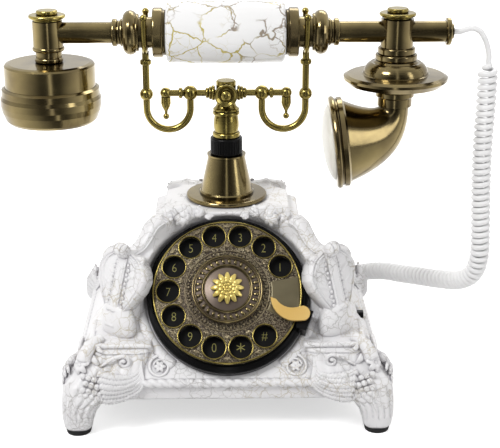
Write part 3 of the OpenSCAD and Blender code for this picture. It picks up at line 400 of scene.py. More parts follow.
RESIN = resin_material()
ENAMEL = grip_material()
BRASS = metal_material("antique_brass", (0.165, 0.127, 0.064), (0.31, 0.245, 0.112), 0.16)
RUBBED_BRASS = metal_material("rubbed_brass", (0.26, 0.205, 0.06), (0.42, 0.335, 0.10), 0.22)
GILT = metal_material("gilt_brass", (0.66, 0.50, 0.13), (0.80, 0.64, 0.20), 0.3, metallic=0.6)
STOP_GOLD = metal_material("satin_gold", (0.72, 0.46, 0.13), (0.80, 0.55, 0.19), 0.32, metallic=0.35)
BRONZE = metal_material("dark_bronze", (0.13, 0.10, 0.08), (0.20, 0.155, 0.12), 0.36, metallic=0.7)
BAND_BRASS = metal_material("chased_brass", (0.20, 0.16, 0.10), (0.34, 0.28, 0.17), 0.34, metallic=0.7)
OLIVE = metal_material("brushed_olive_bronze", (0.17, 0.145, 0.085), (0.24, 0.205, 0.12), 0.36,
                       metallic=0.6)
RELIEF = relief_brass_material()
STEEL = metal_material("plated_steel", (0.50, 0.51, 0.52), (0.66, 0.67, 0.68), 0.3)
BLACK = plastic_material("black_gloss_plastic", (0.004, 0.004, 0.0045), (0.008, 0.008, 0.008), 0.26,
                         shine=0.12)
PLATE = plastic_material("black_number_enamel", (0.005, 0.005, 0.005), (0.008, 0.008, 0.008), 0.5,
                         shine=0.1)
FIGURES = plastic_material("olive_figures", (0.26, 0.24, 0.05), (0.34, 0.31, 0.08), 0.5)
CREAM = plastic_material("cream_plastic", (0.80, 0.78, 0.70), (0.87, 0.85, 0.78), 0.34, coat=0.2)
RUBBER = plastic_material("black_rubber", (0.012, 0.012, 0.012), (0.03, 0.03, 0.03), 0.75,
                          bump_depth=0.0002)
BOARD = plastic_material("green_board", (0.015, 0.10, 0.04), (0.03, 0.16, 0.07), 0.4, coat=0.3)
CORD = cord_material()

FINISH = {"resin": RESIN, "brass": BRASS, "gilt": GILT, "black_plastic": BLACK, "black_paint": PLATE,
          "steel": STEEL, "rubber": RUBBER, "board": BOARD, "cream": CREAM, "cord": CORD}
RUBBED_NODES = ("hook_left", "hook_right", "hub_rosette", "pendants", "finials", "arm_left",
                "arm_right", "cradle_hub", "column")
SPECIAL = {"grip": ENAMEL, "finger_stop": STOP_GOLD, "finger_wheel": RELIEF, "dial_medallion": BRONZE,
           **dict.fromkeys(RUBBED_NODES, RUBBED_BRASS)}


def dress_nodes():
    """Gives every node of the frame the finish of its slot, or its own where it has one"""
    for part in frame["record"]["subparts"]:
        mesh = frame["nodes"][part["node"]].data
        mesh.materials.clear()
        mesh.materials.append(SPECIAL.get(part["node"], FINISH[part["material_slot"]]))


# ---------------------------------------------------------------- shapes
# A solid is a pair: points (N, 3) in millimetres and quads (M, 4). Equal corners are merged later.


def grid(points, wrap_rows=False, wrap_columns=False):
    """Quads between neighbouring points of a (rows, columns, 3) grid"""
    rows, columns = points.shape[:2]
    index = np.arange(rows * columns).reshape(rows, columns)
    if wrap_rows:
        index = np.vstack([index, index[:1]])
    if wrap_columns:
        index = np.hstack([index, index[:, :1]])
    quads = np.stack([index[:-1, :-1], index[1:, :-1], index[1:, 1:], index[:-1, 1:]], -1)
    return points.reshape(-1, 3), quads.reshape(-1, 4)


def pad(front, back):
    """Closed block between two grids of one size: the two faces and the four edges"""
    rows, columns = front.shape[:2]
    points, quads = grid(np.concatenate([front, back[:, ::-1]], axis=1), wrap_columns=True)
    j = np.arange(columns - 1)
    last = 2 * columns - 1
    end = np.stack([j, j + 1, last - 1 - j, last - j], -1)
    return points, np.vstack([quads, end, end[:, ::-1] + (rows - 1) * 2 * columns])


LATHE_SIDES = 64
PETAL_SIDES = 14


def round_angles(count):
    """Even angles once round a circle"""
    return np.linspace(0, 2 * np.pi, count, endpoint=False)


def toward(degrees, across, up):
    """The direction at an angle from one axis towards another"""
    a = math.radians(degrees)
    return math.cos(a) * across + math.sin(a) * up


def unit(vectors):
    """The same directions at length 1"""
    return vectors / np.maximum(np.linalg.norm(vectors, axis=-1, keepdims=True), 1e-9)


def tube(path, radius, sides=10, round_ends=True, flat=1.0, ripple=None):
    """Round tube along a path: each ring is square to the path, and its ends close to a point.
    flat squeezes a ring along its second axis; ripple(t, angle) scales the radius."""
    path = np.asarray(path, float)
    radius = np.broadcast_to(np.asarray(radius, float), len(path)).copy()
    along = unit(np.gradient(path, axis=0))
    side = np.empty_like(path)
    axis = np.array([0.31, -0.52, 0.79])
    side[0] = unit(np.cross(along[0], axis))
    for i in range(1, len(path)):
        side[i] = unit(side[i - 1] - along[i] * np.dot(side[i - 1], along[i]))
    up = np.cross(along, side)
    angle = round_angles(sides)
    size = radius[:, None] * np.ones(sides)
    if ripple is not None:
        size = size * ripple(np.linspace(0, 1, len(path))[:, None], angle[None])
    rings = (path[:, None] + size[..., None] * (np.cos(angle)[None, :, None] * side[:, None]
             + flat * np.sin(angle)[None, :, None] * up[:, None]))
    if round_ends:
        cap = np.array([[0.0, 0.35], [0.45, 0.25], [0.8, 0.1]])
        first, final = ([path[i] + shrink * (rings[i] - path[i]) + sign * out * radius[i] * along[i]
                         for shrink, out in cap] for i, sign in ((0, -1), (-1, 1)))
        rings = np.concatenate([np.array(first), rings, np.array(final[::-1])])
    return grid(rings, wrap_columns=True)


def lathe(profile):
    """Profile of radius and height turned about Z; the profile starts and ends on the axis"""
    angle = round_angles(LATHE_SIDES)
    r, z = (profile[:, k, None] * np.ones(LATHE_SIDES) for k in (0, 1))
    return grid(np.stack([r * np.cos(angle), r * np.sin(angle), z], -1), wrap_columns=True)


def closed_rings(rings, first, last):
    """Rings joined in a row, with the two end ones drawn together in a point each"""
    ends = [np.broadcast_to(p, (1,) + rings.shape[1:]) for p in (first, last)]
    return grid(np.concatenate([ends[0], rings, ends[1]]), wrap_columns=True)


def dome(centre, across, up, out, size, height, sides=14, rings=5):
    """Low round boss: a half ellipsoid with its flat side on a plane"""
    t = np.linspace(0, np.pi / 2, rings)[:, None]
    a = round_angles(sides)[None]
    r = np.sin(t)
    top = (centre + (size[0] * r * np.cos(a))[..., None] * across
           + (size[1] * r * np.sin(a))[..., None] * up
           + (height * np.cos(t) * np.ones_like(a))[..., None] * out)
    low = np.repeat((centre - 0.3 * height * out)[None, None], sides, axis=1)
    return grid(np.concatenate([top, low]), wrap_columns=True)


def bezier(points, count):
    """Cubic Bezier curve through its four control points"""
    t = np.linspace(0, 1, count)[:, None]
    a, b, c, d = (np.asarray(p, float) for p in points)
    return (1 - t) ** 3 * a + 3 * (1 - t) ** 2 * t * b + 3 * (1 - t) * t ** 2 * c + t ** 3 * d


def smooth_path(points, count):
    """Catmull-Rom curve through given points, spaced evenly along its length"""
    p = np.asarray(points, float)
    p = np.vstack([2 * p[0] - p[1], p, 2 * p[-1] - p[-2]])
    t = np.linspace(0, 1, 24, endpoint=False)[:, None]
    pieces = []
    for i in range(1, len(p) - 2):
        a, b, c, d = p[i - 1], p[i], p[i + 1], p[i + 2]
        pieces.append(0.5 * (2 * b + (c - a) * t + (2 * a - 5 * b + 4 * c - d) * t ** 2
                             + (3 * b - a - 3 * c + d) * t ** 3))
    fine = np.vstack(pieces + [p[-2][None]])
    gone = np.concatenate([[0], np.cumsum(np.linalg.norm(np.diff(fine, axis=0), axis=1))])
    even = np.linspace(0, gone[-1], count)
    return np.stack([np.interp(even, gone, fine[:, k]) for k in range(p.shape[1])], -1)


def moved(solid, matrix):
    """A solid turned or mirrored by a matrix"""
    return solid[0] @ np.asarray(matrix).T, solid[1]


def turn_z(degrees):
    """Matrix of a turn about Z"""
    a = math.radians(degrees)
    return np.array([[math.cos(a), -math.sin(a), 0], [math.sin(a), math.cos(a), 0], [0, 0, 1]])


def outward(points, quads):
    """Turns the faces of a closed solid over if its volume comes out negative"""
    a, b, c, d = (points[quads[:, i]] for i in range(4))
    volume = np.einsum("ij,ij->i", a, np.cross(b, c)) + np.einsum("ij,ij->i", a, np.cross(c, d))
    return quads[:, ::-1] if volume.sum() < 0 else quads


def merge(work, distance=1e-5):
    """Merges the corners of a bmesh that lie closer than a distance in metres"""
    bmesh.ops.remove_doubles(work, verts=work.verts, dist=distance)


def to_mesh(work, name):
    """The mesh of a bmesh that is done with"""
    mesh = bpy.data.meshes.new(name)
    work.to_mesh(mesh)
    work.free()
    return mesh


def node_copy(node):
    """A bmesh of the node's own triangles, their equal corners merged"""
    work = bmesh.new()
    work.from_mesh(frame["nodes"][node].data)
    merge(work)
    return work


def piece(name, solids, material, body):
    """One named object from closed solids in millimetres, its equal corners merged"""
    points, quads, count = [], [], 0
    for p, q in solids:
        points.append(p)
        quads.append(outward(p, q) + count)
        count += len(p)
    points = np.vstack(points) * MM
    mesh = bpy.data.meshes.new(name)
    mesh.from_pydata(points.tolist(), [], np.vstack(quads).tolist())
    work = bmesh.new()
    work.from_mesh(mesh)
    merge(work, 2e-6)
    work.to_mesh(mesh)
    work.free()
    mesh.polygons.foreach_set("use_smooth", np.ones(len(mesh.polygons), bool))
    mesh.materials.append(material)
    obj = add_object(name, mesh)
    if body:
        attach(obj, body)
    return obj


# ---------------------------------------------------------------- the carved base

SLOPE = np.array([0, math.cos(math.pi / 2 - LEAN), math.sin(math.pi / 2 - LEAN)])
FACE_OUT = np.array([0, -math.cos(LEAN), math.sin(LEAN)])
ACROSS = np.array([1.0, 0.0, 0.0])
DIAL_CENTRE = np.array([0, -(RAIL_HALF - (DIAL_Z - RAIL_TOP) * math.tan(LEAN)), DIAL_Z])
DIAGONAL = np.array([1.0, -1.0, 0.0]) / math.sqrt(2)
SIDEWAYS = np.array([1.0, 1.0, 0.0]) / math.sqrt(2)
UP = np.array([0.0, 0.0, 1.0])

LEG_HEIGHTS = [3.0, 8.0, 14.0, 19.0, 24.0, 30.0, 36.0, 42.0, 48.0]
LEG_CENTRES = [87.1, 87.1, 86.3, 84.5, 79.5, 74.1, 68.9, 65.5, 62.9]
LEG_HALVES = [8.4, 9.2, 10.2, 12.0, 17.0, 21.4, 21.4, 20.4, 19.0]
LEG_TOP = 46.0
LEG_EASE = 1.5
LEG_FLUTES = 8.5
LEG_SIDES = 128
BOWL_AXIS = 90.5
BOWL_HALF = 13.0
BOWL_LOW = 51.0
BOWL_HIGH = 68.0
BOWL_SQUASH = 0.66


def in_face(x, s, out):
    """Points of the sloping front face: x across, s up the slope from the dial's centre, out from it"""
    x, s, out = np.broadcast_arrays(x, s, out)
    return DIAL_CENTRE + x[..., None] * ACROSS + s[..., None] * SLOPE + out[..., None] * FACE_OUT


def in_corner(p, side, z):
    """Points of the front right corner: p out along its diagonal, side across it, z up"""
    p, side, z = np.broadcast_arrays(p, side, z)
    return p[..., None] * DIAGONAL + side[..., None] * SIDEWAYS + z[..., None] * UP


def mirrored(solids, *mirrors):
    """A copy of every solid in each of some mirrors, given as a sign for x, y and z"""
    return [moved(s, np.diag(m)) for s in solids for m in mirrors]


def both_sides(solids):
    """Copies on the right and the left"""
    return mirrored(solids, (1, 1, 1), (-1, 1, 1))


def both_faces(solids):
    """Copies a front right carving to the right face too, across the corner's diagonal"""
    swap = np.array([[0, -1, 0], [-1, 0, 0], [0, 0, 1]])
    return list(solids) + [moved(s, swap) for s in solids]


def four_corners(solids):
    """Copies at all four corners"""
    return mirrored(solids, (1, 1, 1), (1, -1, 1), (-1, 1, 1), (-1, -1, 1))


def make_cast_base():
    """The shell's own form with every edge softly rounded, and eased in under its carving: each leg
    shrinks towards its own centre line, and the outer half of each front bowl moves back along the
    corner's diagonal"""
    obj = add_object("cast_base", to_mesh(node_copy("base_shell"), "cast_base"))
    remesh = obj.modifiers.new("soften", "REMESH")
    remesh.mode = "VOXEL"
    remesh.voxel_size = 0.00135
    smooth = obj.modifiers.new("round", "SMOOTH")
    smooth.factor = 0.5
    smooth.iterations = 3
    shown = obj.evaluated_get(bpy.context.evaluated_depsgraph_get())
    obj.data = bpy.data.meshes.new_from_object(shown)
    obj.modifiers.clear()
    co = np.empty(len(obj.data.vertices) * 3)
    obj.data.vertices.foreach_get("co", co)
    co = co.reshape(-1, 3) / MM
    centre = np.interp(co[:, 2], LEG_HEIGHTS, LEG_CENTRES)
    half = np.interp(co[:, 2], LEG_HEIGHTS, LEG_HALVES)
    inside = co[:, 2] < LEG_TOP
    for k in (0, 1):
        inside &= np.abs(np.abs(co[:, k]) - centre) < half + 0.4
    shrink = np.where(inside, 1 - LEG_EASE / half, 1.0)
    for k in (0, 1):
        sign = np.sign(co[:, k])
        co[:, k] = sign * (centre + (np.abs(co[:, k]) - centre) * shrink)
    p = (np.abs(co[:, 0]) + np.abs(co[:, 1])) / math.sqrt(2)
    side = (np.abs(co[:, 0]) - np.abs(co[:, 1])) / math.sqrt(2)
    bowl = ((co[:, 1] < 0) & (p > BOWL_AXIS) & (np.abs(side) < BOWL_HALF)
            & (co[:, 2] > BOWL_LOW) & (co[:, 2] < BOWL_HIGH))
    back_in = np.where(bowl, (p - BOWL_AXIS) * (1 - BOWL_SQUASH + 0.06) / math.sqrt(2), 0)
    for k in (0, 1):
        co[:, k] -= np.sign(co[:, k]) * back_in
    obj.data.vertices.foreach_set("co", (co * MM).ravel())
    obj.data.polygons.foreach_set("use_smooth", np.ones(len(obj.data.polygons), bool))
    obj.data.materials.clear()
    obj.data.materials.append(RESIN)
    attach(obj, "base")
    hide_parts("base_shell")


def leg_skin():
    """Cabriole leg: superellipse rings that swell to the knee, cut by long flutes over a scalloped hem.
    A flute is the absolute sine of the angle, which leans with the height."""
    z = np.concatenate([[3.0, 3.0], np.linspace(3.4, LEG_TOP, 90), [LEG_TOP]])[:, None]
    angle = round_angles(LEG_SIDES)[None]
    centre = np.interp(z, LEG_HEIGHTS, LEG_CENTRES)
    half = np.interp(z, LEG_HEIGHTS, LEG_HALVES)
    power = np.interp(z, [3, 14, 24, 48], [2.6, 2.8, 3.2, 4.6])
    radius = half / (np.abs(np.cos(angle)) ** power + np.abs(np.sin(angle)) ** power) ** (1 / power)
    turn = angle - np.pi / 4
    lean = turn * (1 + 0.010 * (z - 10)) + 0.16 * np.sin(turn) * (z - 10) / 30
    ridge = np.abs(np.sin(LEG_FLUTES * lean))
    hem = 9.5 + 1.8 * np.abs(np.sin(LEG_FLUTES * turn))
    carved = np.clip((z - hem) / 1.2, 0, 1)
    radius = radius - 1.25 * carved * (1 - ridge ** 0.7) - 0.35 * np.clip((hem - z) / 1.2, 0, 1)
    radius = radius - 1.2 * np.exp(-((z - 3.2) / 0.7) ** 2)
    radius[0] = 0
    radius[-1] = 0
    x = centre + radius * np.cos(angle)
    y = centre + radius * np.sin(angle)
    return grid(np.stack([x, -y, z * np.ones_like(angle)], -1), wrap_columns=True)


FEATHERS = 6
FEATHER_STEPS = 44


def wing_depth(x, z):
    """How far out the wing's carved surface lies: on the leg at its root and on the slope at its tip"""
    across = np.clip((x - 50) / 22, 0, 1)
    return 89.8 + 5.6 * across ** 2 * (3 - 2 * across) - 0.62 * np.maximum(z - 31.5, 0)


def feather_path(k):
    """Crescent k of the wing: out of the knee, along the rail and up to the common tip"""
    f = k / (FEATHERS - 1)
    flat = bezier([(74 - 3 * f, 38.5 - 14.5 * f), (63, 34.5 - 13 * f), (49.5 - 7.5 * f, 31 - 6 * f),
                   (50 + 0.8 * f, 43.5 - 4.5 * f)], FEATHER_STEPS)
    return np.stack([flat[:, 0], -wing_depth(flat[:, 0], flat[:, 1]), flat[:, 1]], -1)


def wing():
    """Fan of crescent feathers over a solid ground: barbed tubes that thin out towards their tips"""
    solids = []
    paths = np.array([feather_path(k) for k in range(FEATHERS)])
    front = paths + np.array([0, 0.5, 0])
    back = paths.copy()
    back[..., 1] = np.maximum(back[..., 1] + 9, -84)
    solids.append(pad(front, back))
    t = np.linspace(0, 1, FEATHER_STEPS)
    swell = 0.35 + 0.65 * np.sin(np.pi * np.clip(0.25 + t, 0, 1)) ** 0.5
    width = 2.0 * (1 - t) ** 0.35 * swell + 0.5
    for k in range(FEATHERS):
        barbs = 15 + 2 * k
        solids.append(tube(paths[k], width, sides=12,
                           ripple=lambda s, a, n=barbs: 1 + 0.17 * np.cos(2 * np.pi * n * s + 2 * a)))
    return solids


def scales():
    """Rows of small round scales over the knee between the leg and the wing's root"""
    solids = []
    for row in range(4):
        for i in range(4):
            x = 71.5 + 3.3 * i + 1.6 * (row % 2)
            z = 24.0 + 3.4 * row + 0.9 * i
            out = np.array([0.0, -1.0, 0.15])
            place = np.array([x, -wing_depth(x, z) + 0.3, z])
            solids.append(dome(place, ACROSS, UP, out, (2.0, 2.1), 1.5))
    return solids


def petal(base, direction, out, length, width, curl, count=18):
    """One leaf lobe: a flattened tube that arches out from its base and curls over at its tip"""
    t = np.linspace(0, 1, count)
    path = (base + (length * t)[:, None] * direction
            + (curl * np.sin(np.pi * np.minimum(t * 1.1, 1)) + 0.3)[:, None] * out)
    size = width * np.sin(np.pi * (0.12 + 0.80 * t)) ** 0.8
    along = unit(np.gradient(path, axis=0))
    side = unit(np.cross(out, along))
    up = np.cross(along, side)
    angle = round_angles(PETAL_SIDES)
    groove = 1 - 0.28 * np.exp(-((angle - np.pi / 2) / 0.35) ** 2)
    rings = (path[:, None] + size[:, None, None] * (np.cos(angle)[None, :, None] * side[:, None]
             + (0.5 * groove * np.sin(angle))[None, :, None] * up[:, None]))
    return closed_rings(rings, path[0], path[-1])


def spray(centre, across, up, out, lobes):
    """A fan of lobes from one point; each lobe is its angle, length, width and curl"""
    return [petal(centre, toward(a, across, up), out, *lobe) for a, *lobe in lobes]


def spiral(centre, across, up, start, end, r0, r1, count=60):
    """Points of a spiral in a plane between two angles in degrees and two radii"""
    a = np.radians(np.linspace(start, end, count))[:, None]
    r = np.linspace(r0, r1, count)[:, None]
    return centre + r * (np.cos(a) * across + np.sin(a) * up)


def flower():
    """Flower of six lobes on the outer corner of the knee, with a ring of stamens"""
    out = unit(toward(30, DIAGONAL, UP))
    up = unit(UP - out * np.dot(UP, out))
    centre = in_corner(119.0, 0.0, 40.5)
    lobes = [(90 + 60 * i, 5.8, 2.1, 1.5) for i in range(6)]
    solids = spray(centre, SIDEWAYS, up, out, lobes)
    solids.append(dome(centre + 0.8 * out, SIDEWAYS, up, out, (1.9, 1.9), 1.9))
    for a in range(0, 360, 60):
        stamen = centre + 1.4 * out + 1.9 * toward(a, SIDEWAYS, up)
        solids.append(dome(stamen, SIDEWAYS, up, out, (0.8, 0.8), 1.0, sides=8))
    return solids


def knee_leaf():
    """Leaf stem down the corner from the ledge to the flower, with two side lobes"""
    path = bezier([in_corner(104.0, 0, 52.0), in_corner(111, 0, 52), in_corner(115, 0, 49),
                   in_corner(117.5, 0, 43)], 24)
    solids = [tube(path, np.linspace(3.0, 4.6, 24), sides=14,
                   ripple=lambda t, a: 1 + 0.07 * np.cos(6 * a))]
    out = unit(DIAGONAL + 0.5 * UP)
    for s in (-1, 1):
        solids.append(petal(in_corner(113.0, 3.0 * s, 45.5),
                            unit(0.75 * s * SIDEWAYS - 0.55 * UP + 0.1 * DIAGONAL), out, 7.0, 2.0, 1.2))
        for drop, reach in ((0.0, 6.0), (3.6, 5.0)):
            solids.append(petal(in_corner(109.5, 2.6 * s, 50.0 - drop),
                                unit(0.9 * s * SIDEWAYS - 0.25 * UP + 0.1 * DIAGONAL), out,
                                reach, 1.5, 1.0))
    return solids


def scroll_relief():
    """Small open scroll on the panel under the ledge"""
    out = np.array([0.0, -1.0, 0.0])
    hook = spiral(np.array([60.0, -86.3, 43.2]), ACROSS, UP, 60, 450, 4.0, 0.9)
    stem = smooth_path([(73.5, -86.6, 40.6), (69.5, -87.2, 43.4), (65.5, -86.8, 46.0), hook[0]], 24)
    path = np.vstack([stem[:-1], hook])
    size = np.concatenate([np.linspace(0.7, 1.2, 23), np.linspace(1.2, 0.9, 60)])
    return [tube(path, size, sides=10), dome(hook[-1], ACROSS, UP, out, (1.5, 1.5), 1.5)]


def strap(path, thick, width, power, sides=28):
    """Strap in a corner's upright plane, along a path of p and z, from its half thickness in the
    plane and its half width across it. A ring is a superellipse: cos and sin raised to 2 / power."""
    path = np.asarray(path, float)
    along = unit(np.gradient(path, axis=0))
    normal = np.stack([-along[:, 1], along[:, 0]], -1)
    thick = np.broadcast_to(np.asarray(thick, float), len(path))[:, None]
    width = np.broadcast_to(np.asarray(width, float), len(path))[:, None]
    angle = round_angles(sides)[None]
    high = thick * np.sign(np.sin(angle)) * np.abs(np.sin(angle)) ** (2 / power)
    wide = width * np.sign(np.cos(angle)) * np.abs(np.cos(angle)) ** (2 / power)
    p, z = (path[:, k, None] + high * normal[:, k, None] for k in (0, 1))
    rings = in_corner(p, wide, z)
    return closed_rings(rings, rings[0].mean(0), rings[-1].mean(0))


STRIP_TOP = np.array([85.3, 98.0])
STRIP_FOOT = np.array([97.8, 58.4])
STRIP_DOWN = (STRIP_FOOT - STRIP_TOP) / np.linalg.norm(STRIP_FOOT - STRIP_TOP)
STRIP_OUT = np.array([-STRIP_DOWN[1], STRIP_DOWN[0]])
STRIP_FACE = STRIP_OUT[0] * DIAGONAL + STRIP_OUT[1] * UP


def on_strip(down, side, out):
    """Points of the corner strip's plane: down it from its top, across it, and out from its face"""
    down, side, out = np.broadcast_arrays(down, side, out)
    p, z = (STRIP_TOP[k] + down * STRIP_DOWN[k] + out * STRIP_OUT[k] for k in (0, 1))
    return in_corner(p, side, z)


def console_stem():
    """Stem that hangs from the platform, swings out and coils into a round bulb over the strip"""
    knots = [(57.0, 113.0), (62.5, 110.8), (66.6, 106.0), (71.0, 101.6), (76.5, 99.3), (81.8, 99.4),
             (85.2, 101.0), (86.4, 103.2)]
    path = smooth_path(knots, 60)
    t = np.linspace(0, 1, 60)
    thick = np.interp(t, [0, 0.3, 0.7, 0.88, 1], [3.8, 3.3, 3.0, 3.2, 3.9])
    width = np.interp(t, [0, 0.4, 0.85, 1], [5.2, 4.6, 4.1, 3.2])
    solids = [strap(path, thick, width, power=3.0)]
    for s in (-1, 1):
        eye = in_corner(86.2, 2.8 * s, 102.8)
        solids.append(dome(eye, DIAGONAL, UP, s * SIDEWAYS, (3.9, 3.9), 1.7, sides=20))
        solids.append(tube(in_corner(path[:, 0], 0.96 * width * s, path[:, 1]), 0.75, sides=8))
    return solids


def console_strip():
    """Flat band down the corner, with a line of fine beads along each edge and small buds beside it"""
    t = np.linspace(0, 1, 40)[:, None]
    path = STRIP_TOP + (STRIP_FOOT - STRIP_TOP) * t - 1.6 * STRIP_OUT
    solids = [strap(path, 2.4, 3.95, power=7.0, sides=40)]
    for s in (-1, 1):
        for down in np.linspace(1.2, 39.0, 28):
            solids.append(dome(on_strip(down, 2.6 * s, 0.7), SIDEWAYS, UP, STRIP_FACE, (0.5, 0.5), 0.35,
                               sides=7, rings=3))
        for i in range(13):
            bud = on_strip(4.0 + 2.75 * i, (4.9 + 0.8 * (i % 2)) * s, -1.3)
            out = unit(STRIP_FACE + 0.4 * s * SIDEWAYS)
            solids.append(dome(bud, SIDEWAYS, UP, out, (1.5, 1.6), 1.7, sides=8, rings=4))
    return solids


LEAF_DOWN = [-1.4, 0.2, 2.4, 5.4, 10.0, 17.0, 25.0, 33.0, 41.6]
LEAF_HALF = [5.0, 11.6, 15.6, 18.6, 20.0, 18.0, 12.8, 6.6, 0.8]
LEAF_LENGTH = LEAF_DOWN[-1] - LEAF_DOWN[0]


def console_leaf():
    """Broad leaf spread behind the strip: slanting veins, a doubled rim, and a fluted edge on top.
    Height = rims at 0.94 and 0.8 of the half width + veins + a crown that falls with the square."""
    u = np.linspace(-1, 1, 81)[:, None]
    v = np.linspace(0, 1, 90)[None]
    even = LEAF_DOWN[0] + LEAF_LENGTH * v
    half = np.interp(even, LEAF_DOWN, LEAF_HALF)
    fan = np.clip(1 - v / 0.16, 0, 1)
    w = np.abs(u)
    flutes = np.abs(np.sin(2.6 * np.pi * u))
    down = even - fan * (1.3 * flutes + 0.2) * np.clip(w * 3 - 0.6, 0, 1)
    veins = np.clip(np.cos(2 * np.pi * (5.5 * v + 1.25 * w)), 0, 1) ** 3
    middle = (np.clip((w - 0.18) * 6, 0, 1) * np.clip((0.76 - w) * 8, 0, 1)
              * np.clip((v - 0.12) * 8, 0, 1))
    height = (1.1 * np.exp(-((w - 0.94) / 0.045) ** 2) + 0.8 * np.exp(-((w - 0.8) / 0.04) ** 2)
              + 0.6 * veins * middle + 0.5 * (1 - w ** 2))
    height = height + 1.2 * fan * (0.5 - flutes)
    front = on_strip(down, u * half, height - 1.3)
    back = on_strip(down, u * half * 0.98, -8.4)
    return [pad(front, back)]


def console_bowl():
    """Bowl under the leaf's point: a turned profile, flatter along the diagonal than across it"""
    profile = [(0, 50.8), (7.9, 50.8), (9.6, 51.8), (10.9, 54.0), (11.5, 57.6), (11.3, 61.8),
               (10.0, 66.0), (7.5, 70.2), (0, 72.5)]
    curve = np.maximum(smooth_path(profile, 60), 0)
    curve[0, 0] = curve[-1, 0] = 0
    points, quads = lathe(curve)
    x, y, z = points.T
    return [(in_corner(BOWL_AXIS + BOWL_SQUASH * x, 1.16 * y, z), quads)]


def ledge_moulding():
    """Half-round nosing round the two open edges of the corner ledge, with a bead under it"""
    corner = [(44.5, -79.2), (78.6, -79.2), (79.2, -78.6), (79.2, -44.5)]
    solids = []
    for z, out, r in ((50.3, 0.2, 1.7), (47.9, -0.9, 1.1)):
        path = np.array([(x + out * (x > 60), y - out * (y < -60), z) for x, y in corner])
        fine = np.vstack([np.linspace(path[i], path[i + 1], 12 if i != 1 else 3) for i in range(3)])
        keep = np.concatenate([[True], np.linalg.norm(np.diff(fine, axis=0), axis=1) > 1e-6])
        solids.append(tube(fine[keep], r, sides=10))
    return solids


def shell_scroll():
    """Open scroll beside the foot of the dial, with a small fan of lobes inside it"""
    centre = in_face(39.3, -41.8, 0.4)
    ring = spiral(centre, -ACROSS, SLOPE, 100, 100 + 430, 6.6, 3.6)
    solids = [tube(ring, np.linspace(1.0, 0.7, 60), sides=8)]
    lobes = [(a, 3.6, 1.1, 0.6) for a in (0, 60, 120, 180, 240, 300)]
    return solids + spray(centre, ACROSS, SLOPE, FACE_OUT, lobes)


SURROUND_R = 51.4


def dial_surround():
    """Broad flat ring cast round the dial, stopped by the rope below"""
    a = np.radians(np.linspace(-52, 232, 150))
    path = in_face(SURROUND_R * np.cos(a), SURROUND_R * np.sin(a), 0.0)
    return [tube(path, 3.2, sides=16, flat=0.5)]


def crest(edge, height):
    """Shell crest over the platform's edge: short grooved lobes round three bosses, and a tail"""
    centre = np.array([25.5, -edge - 2.4, height])
    out = unit(np.array([0, -1.0, 0.25]))
    up = unit(UP - out * np.dot(UP, out))
    lobes = [(-164, 4.6, 1.6, 1.2), (-138, 4.8, 1.8, 1.3), (-110, 5.8, 1.9, 1.5),
             (-82, 7.0, 1.9, 1.6), (-54, 7.2, 1.9, 1.6), (-24, 6.4, 1.8, 1.3)]
    lobes += [(90 + a, 4.6, 1.7, 1.0) for a in (-36, 0, 36)]
    solids = spray(centre, ACROSS, up, out, lobes)
    solids.append(dome(centre + 0.8 * out, ACROSS, up, out, (2.6, 2.4), 2.0))
    for s in (-1, 1):
        side = centre + 8.4 * s * ACROSS + (0.8 - 1.2 * s) * up
        fan = [(90 - s * (90 + a), 4.4 + 0.5 * s, 1.5, 1.1) for a in (-70, -35, 0, 35, 70, 105)]
        solids += spray(side, ACROSS, up, out, fan)
        solids.append(dome(side + 0.6 * out, ACROSS, up, out, (2.0, 1.9), 1.6))
    tail = [(176, 5.2, 1.3, 0.8), (200, 4.0, 1.1, 0.8)]
    return solids + spray(centre - 12.4 * ACROSS - 1.0 * up, ACROSS, up, out, tail)


ROPE_HALF = 51.0
ROPE_DEPTH = 88.4
ROPE_Z = 30.6
ROPE_R = 2.7
ROPE_TWIST = 11.0


def rope():
    """Two-strand twist along the rail: the radius follows the cosine of an angle that turns along it"""
    x = np.linspace(-ROPE_HALF, ROPE_HALF, 260)
    path = np.stack([x, np.full_like(x, -ROPE_DEPTH), np.full_like(x, ROPE_Z)], -1)
    twists = ROPE_HALF * 2 / ROPE_TWIST
    return tube(path, ROPE_R, sides=18,
                ripple=lambda t, a: 0.70 + 0.36 * np.abs(np.cos(a - 2 * np.pi * twists * t)))


def on_slope(x, z, out, inset=0.0):
    """Points of a sloping face above the rail, by x across and height z"""
    x, z, out = np.broadcast_arrays(x, z, out)
    y = -(RAIL_HALF - inset - (z - RAIL_TOP) * math.tan(LEAN))
    return np.stack([x, y, z], -1) + out[..., None] * FACE_OUT


def slope_frame(corners, steps, radius, sides, out, inset=0.0):
    """Round moulding along the four sides of a panel on a slope, from corner to corner"""
    path = np.array(corners + corners[:1], float)
    edges = [np.linspace(path[i], path[i + 1], steps)[:-1] for i in range(4)]
    fine = np.vstack(edges + [path[-1:]])
    line = on_slope(fine[:, 0], fine[:, 1], out, inset)
    return tube(np.vstack([line, line[1:2]]), radius, sides=sides)


def platform_panel():
    """Thin raised frame on the front slope beside the dial, under the platform"""
    return [slope_frame([(-44, 107), (-21, 107), (-24.5, 100.5), (-46, 100.5)], 16, 0.7, 8, 0.1)]


